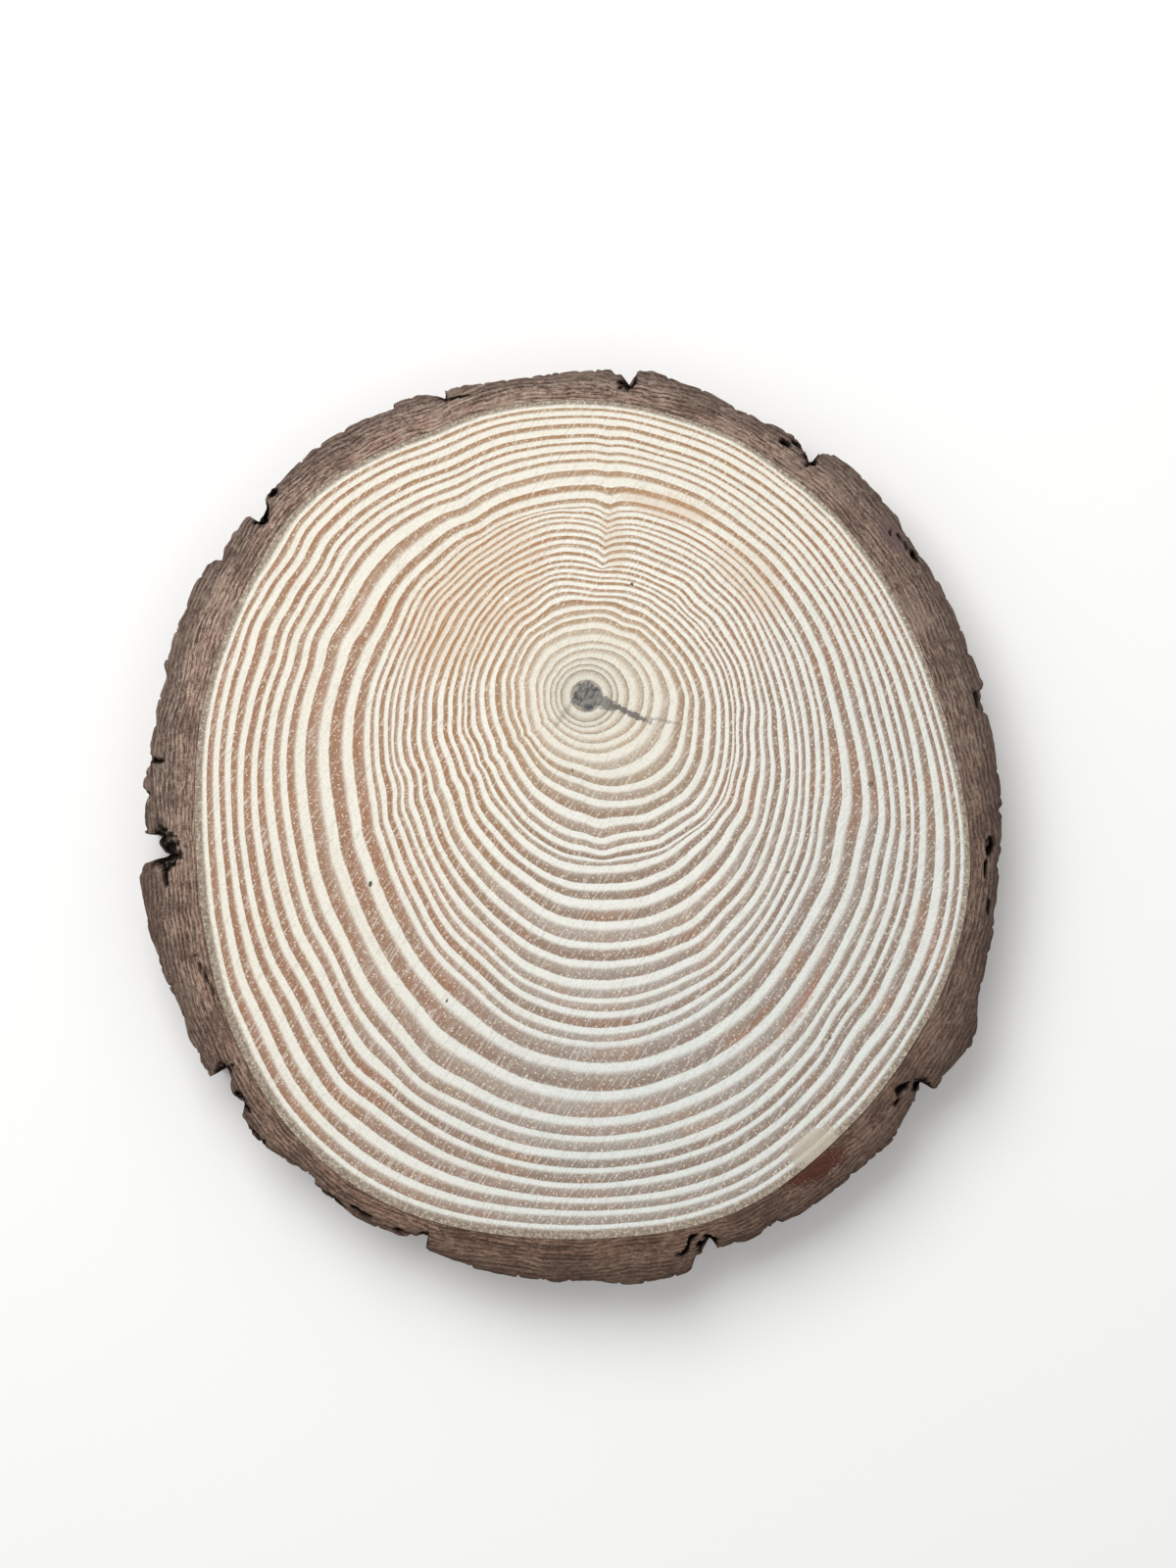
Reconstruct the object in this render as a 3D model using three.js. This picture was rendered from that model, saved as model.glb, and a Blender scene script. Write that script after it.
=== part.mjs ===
// A crosswise slice of a pine log with its bark on, sawn flat on both faces.
//
// Units are millimetres and +Z is up. The lower sawn face lies in z = 0, and the origin is under the middle
// of the slice. The wood and its bark grew as one piece, so the slice is one closed solid.
import * as THREE from "three";

// Driving dimensions
const WIDTH = 221; // across the slice, along X
const LENGTH = 234; // the longer way across, along Y
const THICKNESS = 22; // from saw cut to saw cut

// The rim of the bark at the saw cut, going anticlockwise from +X.
// Each entry is an angle in degrees and a distance from the middle of the slice.
const RIM = [
  [0, 110.7], [8, 110.4], [15, 110.8], [20, 111.5], [30, 112.3], [38, 113.2], [41.5, 114.0], [44, 115.6],
  [52, 116.9], [54.6, 116.3], [56.3, 114.9], [60.5, 114.9], [68, 115.3], [75, 117.0], [81, 118.5],
  [85, 117.2], [91, 116.8], [99, 115.6], [105.5, 116.2], [111, 117.2], [123, 117.0], [131, 115.4],
  [137, 115.0], [147, 114.8], [152, 113.1], [158, 112.7], [160, 110.7], [168, 110.2], [174, 110.4],
  [180.5, 109.6], [186, 111.6], [197, 111.7], [206, 110.7], [209.5, 112.5], [214.5, 113.0], [224.5, 113.8],
  [231, 112.6], [241, 114.4], [247, 114.0], [251, 115.1], [261, 116.3], [270, 116.9], [282, 118.8],
  [284.8, 118.2], [286.4, 114.8], [291, 114.5], [293, 115.5], [303, 115.4], [315, 115.0], [321, 112.9],
  [324.2, 115.3], [331.8, 117.0], [338, 113.2], [345, 111.4], [354, 110.2],
];

// Furrows that split the bark into plates: where each one lies, how deep it cuts into the rim, and how many
// degrees before and after that it opens.
const FURROWS = [
  { at: 2.4, depth: 1.0, before: 1.6, after: 0.8 },
  { at: 17, depth: 1.0, before: 2.0, after: 2.0 },
  { at: 56.9, depth: 3.4, before: 0.6, after: 3.0 },
  { at: 82.8, depth: 4.0, before: 1.1, after: 1.9 },
  { at: 106.8, depth: 2.2, before: 0.6, after: 2.6 },
  { at: 113.4, depth: 1.0, before: 0.5, after: 3.2 },
  { at: 135.1, depth: 3.4, before: 3.0, after: 1.0 },
  { at: 142.6, depth: 1.8, before: 3.0, after: 1.6 },
  { at: 171, depth: 1.2, before: 2.0, after: 1.8 },
  { at: 176, depth: 1.6, before: 1.0, after: 3.0 },
  { at: 181.6, depth: 5.2, before: 0.7, after: 5.0 },
  { at: 184.1, depth: 8.0, before: 3.4, after: 1.1 },
  { at: 211.5, depth: 0.8, before: 1.2, after: 1.2 },
  { at: 215.4, depth: 4.8, before: 0.6, after: 8.0 },
  { at: 219.6, depth: 3.6, before: 4.5, after: 2.4 },
  { at: 233.6, depth: 1.0, before: 3.5, after: 0.9 },
  { at: 250.2, depth: 3.2, before: 3.4, after: 0.8 },
  { at: 288.3, depth: 3.2, before: 1.6, after: 0.9 },
  { at: 297.2, depth: 1.0, before: 2.6, after: 0.8 },
  { at: 323.3, depth: 3.8, before: 1.8, after: 0.7 },
  { at: 354.8, depth: 0.7, before: 1.8, after: 2.0 },
];

// Below the upper cut the bark is worn back in ripples, the log tapers unevenly, and the furrows grow deeper
// and shallower. All of it stays within the upper rim.
const WEAR = 1.1;
const RIPPLES_ROUND = 23;
const TAPER = 1.2;
const TAPER_LOBES = 3;
const FURROW_CHANGE = 0.25; // share of a furrow's depth that comes and goes

// Facets
const LEVELS = 5; // bands up the side
const PLATE_STEP = 2; // degrees between columns on a bark plate
const NARROWEST_STEP = 0.3; // degrees between the closest columns

const FULL_TURN = 360;

/** Degrees from one direction to another, negative when that is clockwise. */
function turnBetween(from, to) {
  return THREE.MathUtils.euclideanModulo(to - from + FULL_TURN / 2, FULL_TURN) - FULL_TURN / 2;
}

/** Distance from the middle to the bark's plates, eased from one rim entry to the next. */
function plateRadius(angle) {
  const next = RIM.findIndex(([at]) => at > angle);
  const [fromAngle, fromRadius] = RIM.at(next === -1 ? -1 : next - 1);
  const [toAngle, toRadius] = next === -1 ? [FULL_TURN, RIM[0][1]] : RIM[next];
  const share = THREE.MathUtils.smoothstep(angle, fromAngle, toAngle);
  return THREE.MathUtils.lerp(fromRadius, toRadius, share);
}

/** How deep the furrows cut in this direction, at a height from 0 at the base to 1 at the top. */
function furrowDepth(angle, height) {
  const cuts = FURROWS.map(({ at, depth, before, after }) => {
    const turn = turnBetween(at, angle);
    const opening = Math.max(0, 1 - Math.abs(turn) / (turn < 0 ? before : after));
    const change = 1 + FURROW_CHANGE * Math.sin(at + Math.PI * (1 - height)) * (1 - height);
    return depth * opening * change;
  });
  return Math.max(...cuts);
}

/** How far the bark stands back from the upper rim's plates, at a height from 0 (base) to 1 (top). */
function setBack(angle, height) {
  const round = THREE.MathUtils.degToRad(angle);
  const worn = WEAR * Math.sin(Math.PI * height) * (0.5 + 0.5 * Math.sin(RIPPLES_ROUND * round + 2 * height));
  const tapered = TAPER * (1 - height) * (0.5 + 0.5 * Math.sin(TAPER_LOBES * round + 1));
  return worn + tapered;
}

/** The directions of the facet columns: even steps, the rim's entries, and five for each furrow's walls. */
function columnAngles() {
  const angles = FURROWS.flatMap(({ at, before, after }) => [
    at - before, at - before / 2, at, at + after / 2, at + after,
  ]);
  const wanted = RIM.map(([at]) => at);
  for (let angle = 0; angle < FULL_TURN; angle += PLATE_STEP) {
    wanted.push(angle);
  }
  for (const angle of wanted) {
    const inFurrow = FURROWS.some(({ at, before, after }) => {
      const turn = turnBetween(at, angle);
      return turn > -before - PLATE_STEP / 4 && turn < after + PLATE_STEP / 4;
    });
    const nearby = angles.some((other) => Math.abs(turnBetween(other, angle)) < PLATE_STEP / 2.5);
    if (!inFurrow && !nearby) {
      angles.push(angle);
    }
  }
  angles.sort((a, b) => a - b);
  return angles.filter((angle, i) => i === 0 || angle - angles[i - 1] > NARROWEST_STEP);
}

/** The point of the bark's surface in a direction, at a height from 0 at the base to 1 at the top. */
function barkPoint(angle, height) {
  const round = THREE.MathUtils.degToRad(angle);
  const radius = plateRadius(angle) - furrowDepth(angle, height) - setBack(angle, height);
  return new THREE.Vector2(radius * Math.cos(round), radius * Math.sin(round));
}

/** The sawn disc pulled up to its thickness, with the bark between the two cuts weathered. */
function sliceGeometry() {
  const rim = new THREE.Shape(columnAngles().map((angle) => barkPoint(angle, 1)));
  const geometry = new THREE.ExtrudeGeometry(rim, {
    depth: THICKNESS,
    steps: LEVELS,
    bevelEnabled: false,
  });
  const position = geometry.getAttribute("position");
  for (let i = 0; i < position.count; i += 1) {
    const round = Math.atan2(position.getY(i), position.getX(i));
    const angle = (THREE.MathUtils.radToDeg(round) + FULL_TURN) % FULL_TURN;
    const point = barkPoint(angle, position.getZ(i) / THICKNESS);
    position.setXY(i, point.x, point.y);
  }
  return geometry;
}

/** Brings the slice to its driving size, with the middle of its base at the origin. */
function fitToSize(geometry) {
  geometry.computeBoundingBox();
  const size = geometry.boundingBox.getSize(new THREE.Vector3());
  const middle = geometry.boundingBox.getCenter(new THREE.Vector3());
  geometry.translate(-middle.x, -middle.y, 0);
  geometry.scale(WIDTH / size.x, LENGTH / size.y, 1);
  geometry.computeVertexNormals();
  return geometry;
}

const pine = new THREE.MeshStandardMaterial({ color: 0xd9c6ab, roughness: 0.8, metalness: 0 });
const slice = new THREE.Mesh(fitToSize(sliceGeometry()), pine);
slice.name = "wood_slice";

const woodSlice = new THREE.Group();
woodSlice.add(slice);

export default woodSlice;
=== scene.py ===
"""A crosswise slice of a pine log with its bark on, lying on a pale floor.

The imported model's one solid stands for the slice in collision. Two pieces give the slice its looks: the
sawn wood with a ring for every year, and the bark round it. Lengths are in millimetres until a mesh is
finished, and directions are degrees anticlockwise from +X, seen from above.
"""

import logging
import math
from dataclasses import dataclass
from enum import Enum

import bmesh
import bpy
import numpy as np
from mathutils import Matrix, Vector


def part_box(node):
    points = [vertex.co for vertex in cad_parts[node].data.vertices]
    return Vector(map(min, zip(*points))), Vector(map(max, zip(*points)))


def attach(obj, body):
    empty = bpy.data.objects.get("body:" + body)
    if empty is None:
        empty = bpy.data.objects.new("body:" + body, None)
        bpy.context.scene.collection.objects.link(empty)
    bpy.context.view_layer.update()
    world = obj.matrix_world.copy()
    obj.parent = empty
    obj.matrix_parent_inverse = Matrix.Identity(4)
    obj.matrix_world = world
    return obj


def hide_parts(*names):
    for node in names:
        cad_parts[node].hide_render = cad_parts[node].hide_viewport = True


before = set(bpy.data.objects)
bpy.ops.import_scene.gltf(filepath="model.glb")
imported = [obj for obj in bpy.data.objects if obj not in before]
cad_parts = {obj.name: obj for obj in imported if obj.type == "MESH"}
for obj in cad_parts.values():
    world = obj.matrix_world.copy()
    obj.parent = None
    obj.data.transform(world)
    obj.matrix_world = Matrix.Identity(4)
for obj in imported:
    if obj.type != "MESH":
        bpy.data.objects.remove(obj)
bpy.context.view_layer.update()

NODE = "wood_slice"
MM = 0.001
FULL_TURN = 360.0
NEAR = 0.001  # a share this close to 0 or 1 counts as 0 or 1

log = logging.getLogger("wood_slice")


def smooth(share: np.ndarray) -> np.ndarray:
    """Eases a share from 0 to 1, so that it starts and ends gently."""
    return share * share * (3 - 2 * share)


def set_out(degrees: np.ndarray, reach: np.ndarray) -> tuple[np.ndarray, np.ndarray]:
    """X and Y of a place that lies so far out in this direction."""
    return reach * np.cos(np.radians(degrees)), reach * np.sin(np.radians(degrees))


def direction_of(x: np.ndarray, y: np.ndarray) -> np.ndarray:
    """The direction in which a place lies, from 0 up to a full turn."""
    return np.degrees(np.arctan2(y, x)) % FULL_TURN


def bell(gap: np.ndarray) -> np.ndarray:
    """A smooth hump: 1 where gap is 0, falling to 0 where it reaches 1 either way.

    Args:
        gap: distance from the hump's middle, in half widths.

    Returns:
        The hump's height at each gap.
    """
    return 0.5 + 0.5 * np.cos(np.pi * np.clip(np.abs(gap), 0, 1))


def peak(gap: np.ndarray) -> np.ndarray:
    """A sharp ridge: 1 where gap is 0, falling straight to 0 where it reaches 1 either way."""
    return 1 - np.clip(np.abs(gap), 0, 1)


def turn_between(degrees: np.ndarray, towards: float) -> np.ndarray:
    """The signed turn in degrees from one direction to each of several others, the short way round."""
    return (degrees - towards + 180) % FULL_TURN - 180


class Crest(Enum):
    """The shape of a swelling's crest."""

    ROUND = "round"
    SHARP = "sharp"


@dataclass(frozen=True)
class Unevenness:
    """Smooth random highs and lows round the trunk, which change along a second way such as height or age.

    Attributes:
        seed: picks one of the endless such surfaces.
        around: how many highs and lows fit round the trunk.
        along: how many fit along the second way.
    """

    seed: int
    around: int
    along: int

    def at(self, degrees: np.ndarray, share: np.ndarray) -> np.ndarray:
        """The unevenness at each place.

        Args:
            degrees: direction of each place.
            share: how far along the second way it is, from 0 to 1.

        Returns:
            A number from -1 to 1 for each place.
        """
        knots = np.random.default_rng(self.seed).uniform(-1, 1, (self.around, self.along + 2))
        x = (degrees % FULL_TURN) / FULL_TURN * self.around
        y = np.clip(share, 0, 1) * self.along
        column, row = np.floor(x).astype(int), np.floor(y).astype(int)
        fx, fy = smooth(x - column), smooth(y - row)
        left, right = column % self.around, (column + 1) % self.around
        low = knots[left, row] * (1 - fx) + knots[right, row] * fx
        high = knots[left, row + 1] * (1 - fx) + knots[right, row + 1] * fx
        return low * (1 - fy) + high * fy


@dataclass(frozen=True)
class Oval:
    """The wood's outline at the end of one year, as an oval whose middle has drifted away from the pith."""

    year: float
    middle_x: float
    middle_y: float
    half_width: float
    half_length: float


@dataclass(frozen=True)
class Swelling:
    """A side of the trunk that grew more than the oval does, or less if the height is negative.

    Attributes:
        towards: direction of its middle.
        spread: half its width, in degrees.
        height: how far it stands out, in millimetres.
        first: the first year that has all of it.
        last: the last year that has all of it.
        crest: whether the rings bend over it smoothly or in a point.
        fade: how many years it takes to come and to go.
    """

    towards: float
    spread: float
    height: float
    first: float
    last: float
    crest: Crest = Crest.ROUND
    fade: float = 2.5

    def lift(self, degrees: np.ndarray, years: np.ndarray) -> np.ndarray:
        """How far it lifts the rings of these years in these directions, in millimetres.

        Args:
            degrees: direction of each place.
            years: the tree's age at each place.

        Returns:
            The lift at each place.
        """
        grown = np.clip(np.minimum(years - self.first, self.last - years) / self.fade + 1, 0, 1)
        shape = bell if self.crest is Crest.ROUND else peak
        across = shape(turn_between(degrees, self.towards) / self.spread)
        return self.height * across * smooth(grown)


@dataclass(frozen=True)
class Flank:
    """How the wood of one side of the trunk looks.

    Attributes:
        towards: direction of this side.
        latewood_from: share of the year after which its dark latewood starts.
        fade: share of the year over which pale wood turns dark.
        cool_and_shaded: 0 for brown latewood, 1 for the pinkish grey of compression wood, which also paints
            the shade that darkens the wood towards the lower right.
        golden: 0 for reddish brown latewood, 1 for golden brown.
        richness: how dark its latewood is, up to 1, and above it on the right, where it paints shade.
    """

    towards: float
    latewood_from: float
    fade: float
    cool_and_shaded: float
    golden: float
    richness: float


@dataclass(frozen=True)
class Trunk:
    """How the tree grew: what each year added, and on which side most of it went.

    The ring widths are means of rings that a separate program traced. The ovals and 19 of the swellings come
    from a least-squares fit to those rings, and the other swellings were read off what the fit left.

    Attributes:
        ring_widths: what each year added on average, in millimetres.
        ovals: the wood's outline at the end of some years, and the others lie between those.
        swellings: where the rings leave those ovals.
        flanks: how the wood looks on each side, with painted shade on the right and lower sides.
        broad_wave: the rings' wide waves, with their height in millimetres.
        fine_wave: the rings' small waves, with their height in millimetres.
        calm_reach: how far from the pith the waves have grown to their full height, in millimetres.
        twist: how far the pith's waves on the lower cut are turned from the upper, in degrees.
        least_half: half width of an oval that has shrunk to the pith, in millimetres.
    """

    ring_widths: tuple[float, ...] = (
        4.1, 2.6, 1.4, 1.8, 2.5, 2.0, 3.5, 3.3, 2.6, 3.0, 3.0, 2.4, 2.2, 1.5, 2.6, 2.1, 3.0, 3.1,
        2.8, 2.5, 2.5, 1.9, 2.6, 2.3, 3.6, 5.0, 5.1, 4.0, 3.1, 3.1, 3.0, 4.0, 3.3, 3.0, 3.1,
    )
    ovals: tuple[Oval, ...] = (
        Oval(0, 0.0, 0.0, 0.0, 0.0),
        Oval(3, 0.0, 0.1, 8.1, 8.1),
        Oval(5, 1.8, 0.1, 12.9, 12.1),
        Oval(8, 3.3, -1.5, 21.5, 21.3),
        Oval(11, 3.7, -4.3, 29.2, 30.9),
        Oval(14, 3.4, -5.7, 35.0, 37.5),
        Oval(18, 2.9, -11.5, 44.3, 50.6),
        Oval(24, 2.8, -18.5, 57.8, 67.8),
        Oval(27, 0.7, -24.2, 72.2, 81.8),
        Oval(31, -1.4, -28.7, 85.8, 95.3),
        Oval(35, -3.4, -32.2, 98.7, 107.8),
    )
    swellings: tuple[Swelling, ...] = (
        Swelling(5, 45, -1.0, 19, 21),
        Swelling(33, 39, -1.3, 8, 15),
        Swelling(40, 9, -0.7, 15, 20),
        Swelling(65, 14, -0.9, 8, 9),
        Swelling(85, 57, -1.4, 12, 25),
        Swelling(104, 22, 1.6, 11, 22),
        Swelling(120, 11, -0.8, 26, 35),
        Swelling(123, 6, -0.5, 25, 27),
        Swelling(125, 16, 0.9, 15, 17),
        Swelling(135, 60, 1.4, 7, 24),
        Swelling(147, 28, 3.1, 28, 40),
        Swelling(149, 13, 1.0, 20, 25),
        Swelling(155, 7, -1.2, 30, 33),
        Swelling(168, 7, 1.0, 27, 32),
        Swelling(172, 24, 0.8, 11, 12),
        Swelling(182, 30, 1.0, 17, 33),
        Swelling(195, 10, 0.8, 13, 20),
        Swelling(205, 7, -0.8, 20, 22),
        Swelling(206, 38, -3.3, 33, 40),
        Swelling(223, 44, -2.2, 9, 29),
        Swelling(226, 8, -1.1, 28, 33),
        Swelling(226, 14, 0.7, 15, 19),
        Swelling(232, 40, 3.5, 34, 38),
        Swelling(238, 6, 1.2, 30, 31),
        Swelling(247, 7, 1.3, 27, 28),
        Swelling(249, 10, -1.1, 21, 24),
        Swelling(251, 13, -0.8, 17, 18),
        Swelling(263, 26, -1.5, 8, 9),
        Swelling(267, 24, -2.0, 33, 35),
        Swelling(270, 28, 1.3, 21, 26),
        Swelling(276, 8, 1.0, 11, 12),
        Swelling(284, 18, -1.0, 27, 27),
        Swelling(292, 29, 1.7, 26, 39),
        Swelling(295, 7, 0.9, 19, 21),
        Swelling(299, 47, 1.6, 17, 22),
        Swelling(305, 11, -0.8, 11, 14),
        Swelling(308, 6, -1.0, 30, 32),
        Swelling(316, 38, 2.6, 9, 13),
        Swelling(324, 8, 1.0, 15, 17),
        Swelling(328, 36, 4.5, 33, 39),
        Swelling(331, 8, -0.9, 25, 28),
        Swelling(332, 28, 2.4, 26, 30),
        Swelling(348, 10, -0.9, 15, 18),
        Swelling(354, 100, -1.2, 28, 40),
        Swelling(82.5, 9, -0.8, 17, 24),
        Swelling(83, 2.8, -0.9, 17, 25, Crest.SHARP),
        Swelling(85, 3.0, -0.4, 24, 31, Crest.SHARP),
        Swelling(212, 5.0, 0.5, 6, 26, Crest.SHARP),
    )
    # The right and lower flanks' coolness and richness are partly compression wood and partly painted shade,
    # which darkens the wood towards the lower right.
    flanks: tuple[Flank, ...] = (
        Flank(0, 0.52, 0.12, 0.75, 0.05, 1.10),
        Flank(45, 0.65, 0.11, 0.16, 0.65, 1.00),
        Flank(90, 0.61, 0.11, 0.10, 1.00, 0.96),
        Flank(135, 0.57, 0.11, 0.05, 0.50, 1.00),
        Flank(180, 0.49, 0.11, 0.05, 0.10, 1.02),
        Flank(225, 0.48, 0.12, 0.12, 0.00, 1.04),
        Flank(270, 0.40, 0.14, 1.00, 0.00, 0.92),
        Flank(315, 0.44, 0.14, 0.95, 0.00, 1.00),
    )
    broad_wave: Unevenness = Unevenness(seed=3, around=30, along=9)
    broad_wave_height: float = 0.32
    fine_wave: Unevenness = Unevenness(seed=8, around=84, along=18)
    fine_wave_height: float = 0.10
    calm_reach: float = 22.0
    twist: float = 7.0
    least_half: float = 1e-6

    @property
    def age(self) -> int:
        """How many rings the tree has."""
        return len(self.ring_widths)

    def reach(self, years: np.ndarray, degrees: np.ndarray, lower: np.ndarray) -> np.ndarray:
        """How far the wood had grown from the pith.

        Args:
            years: the tree's age at each place.
            degrees: direction of each place from the pith.
            lower: 1 for a place on the lower saw cut and 0 for one on the upper.

        Returns:
            The distance from the pith in millimetres.
        """
        grown = np.concatenate([[0], np.cumsum(self.ring_widths)])
        size = np.interp(years, np.arange(self.age + 1), grown)
        at = [grown[int(oval.year)] for oval in self.ovals]
        x, y, half_width, half_length = (
            np.interp(size, at, [getattr(oval, name) for oval in self.ovals])
            for name in ("middle_x", "middle_y", "half_width", "half_length")
        )
        halves = np.maximum(half_width, self.least_half), np.maximum(half_length, self.least_half)
        reach = self._to_oval(degrees, x, y, *halves)
        for swelling in self.swellings:
            reach = reach + swelling.lift(degrees, years)
        share = years / self.age
        shifted = degrees + self.twist * lower * (1 - share)
        wave = self.broad_wave_height * self.broad_wave.at(shifted, share)
        wave = wave + self.fine_wave_height * self.fine_wave.at(shifted, share)
        return np.maximum(reach + wave * np.clip(size / self.calm_reach, 0, 1) ** 1.5, 0)

    @staticmethod
    def _to_oval(
        degrees: np.ndarray, x: np.ndarray, y: np.ndarray, half_width: np.ndarray, half_length: np.ndarray
    ) -> np.ndarray:
        """Distance from the pith to an oval round it, in each direction.

        Args:
            degrees: direction of each place.
            x: how far right of the pith the oval's middle lies.
            y: how far above the pith it lies.
            half_width: half the oval's width.
            half_length: half its length.

        Returns:
            The distances, in millimetres.
        """
        along_x, along_y = set_out(degrees, 1.0)
        a = (along_x / half_width) ** 2 + (along_y / half_length) ** 2
        b = -2 * (x * along_x / half_width**2 + y * along_y / half_length**2)
        c = (x / half_width) ** 2 + (y / half_length) ** 2 - 1
        return (-b + np.sqrt(np.maximum(b * b - 4 * a * c, 0))) / (2 * a)

    def flank(self, degrees: np.ndarray, name: str) -> np.ndarray:
        """One of the flanks' values, blended round the trunk.

        Args:
            degrees: direction of each place.
            name: which value.

        Returns:
            The value at each place.
        """
        towards = [flank.towards for flank in self.flanks]
        values = [getattr(flank, name) for flank in self.flanks]
        return np.interp(degrees % FULL_TURN, towards, values, period=FULL_TURN)


@dataclass(frozen=True)
class Furrow:
    """A furrow that splits the bark into plates.

    Attributes:
        at: its direction from the middle of the slice.
        depth: how deep it cuts into the rim, in millimetres.
        before: how many degrees clockwise of it it opens.
        after: how many degrees anticlockwise of it it opens.
        lean: how far its root is pushed round the trunk, in degrees.
        pit: how far the bark is broken down round its root, in millimetres.
    """

    at: float
    depth: float
    before: float
    after: float
    lean: float = 0.0
    pit: float = 0.0

    def opening(self, degrees: np.ndarray) -> np.ndarray:
        """How far it cuts in each direction, as a share of its depth.

        Args:
            degrees: direction of each place.

        Returns:
            A share from 0 to 1.
        """
        turn = turn_between(degrees, self.at)
        return peak(turn / np.where(turn < 0, self.before, self.after))

    def root(self) -> "Hollow":
        """The place round its root where the sawn face has broken down."""
        half_length, half_width = 0.35 * self.depth + 0.7, 0.3 * self.depth + 0.6
        return Hollow(self.at, self.depth, half_length, half_width, self.pit)


@dataclass(frozen=True)
class Hollow:
    """A crack or pit in the bark's sawn face.

    Attributes:
        at: its direction from the middle of the slice.
        inward: how far its middle lies inside the rim, in millimetres.
        half_length: half its length round the trunk, in millimetres.
        half_width: half its width, in millimetres.
        depth: how deep it goes, in millimetres.
    """

    at: float
    inward: float
    half_length: float
    half_width: float
    depth: float


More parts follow.
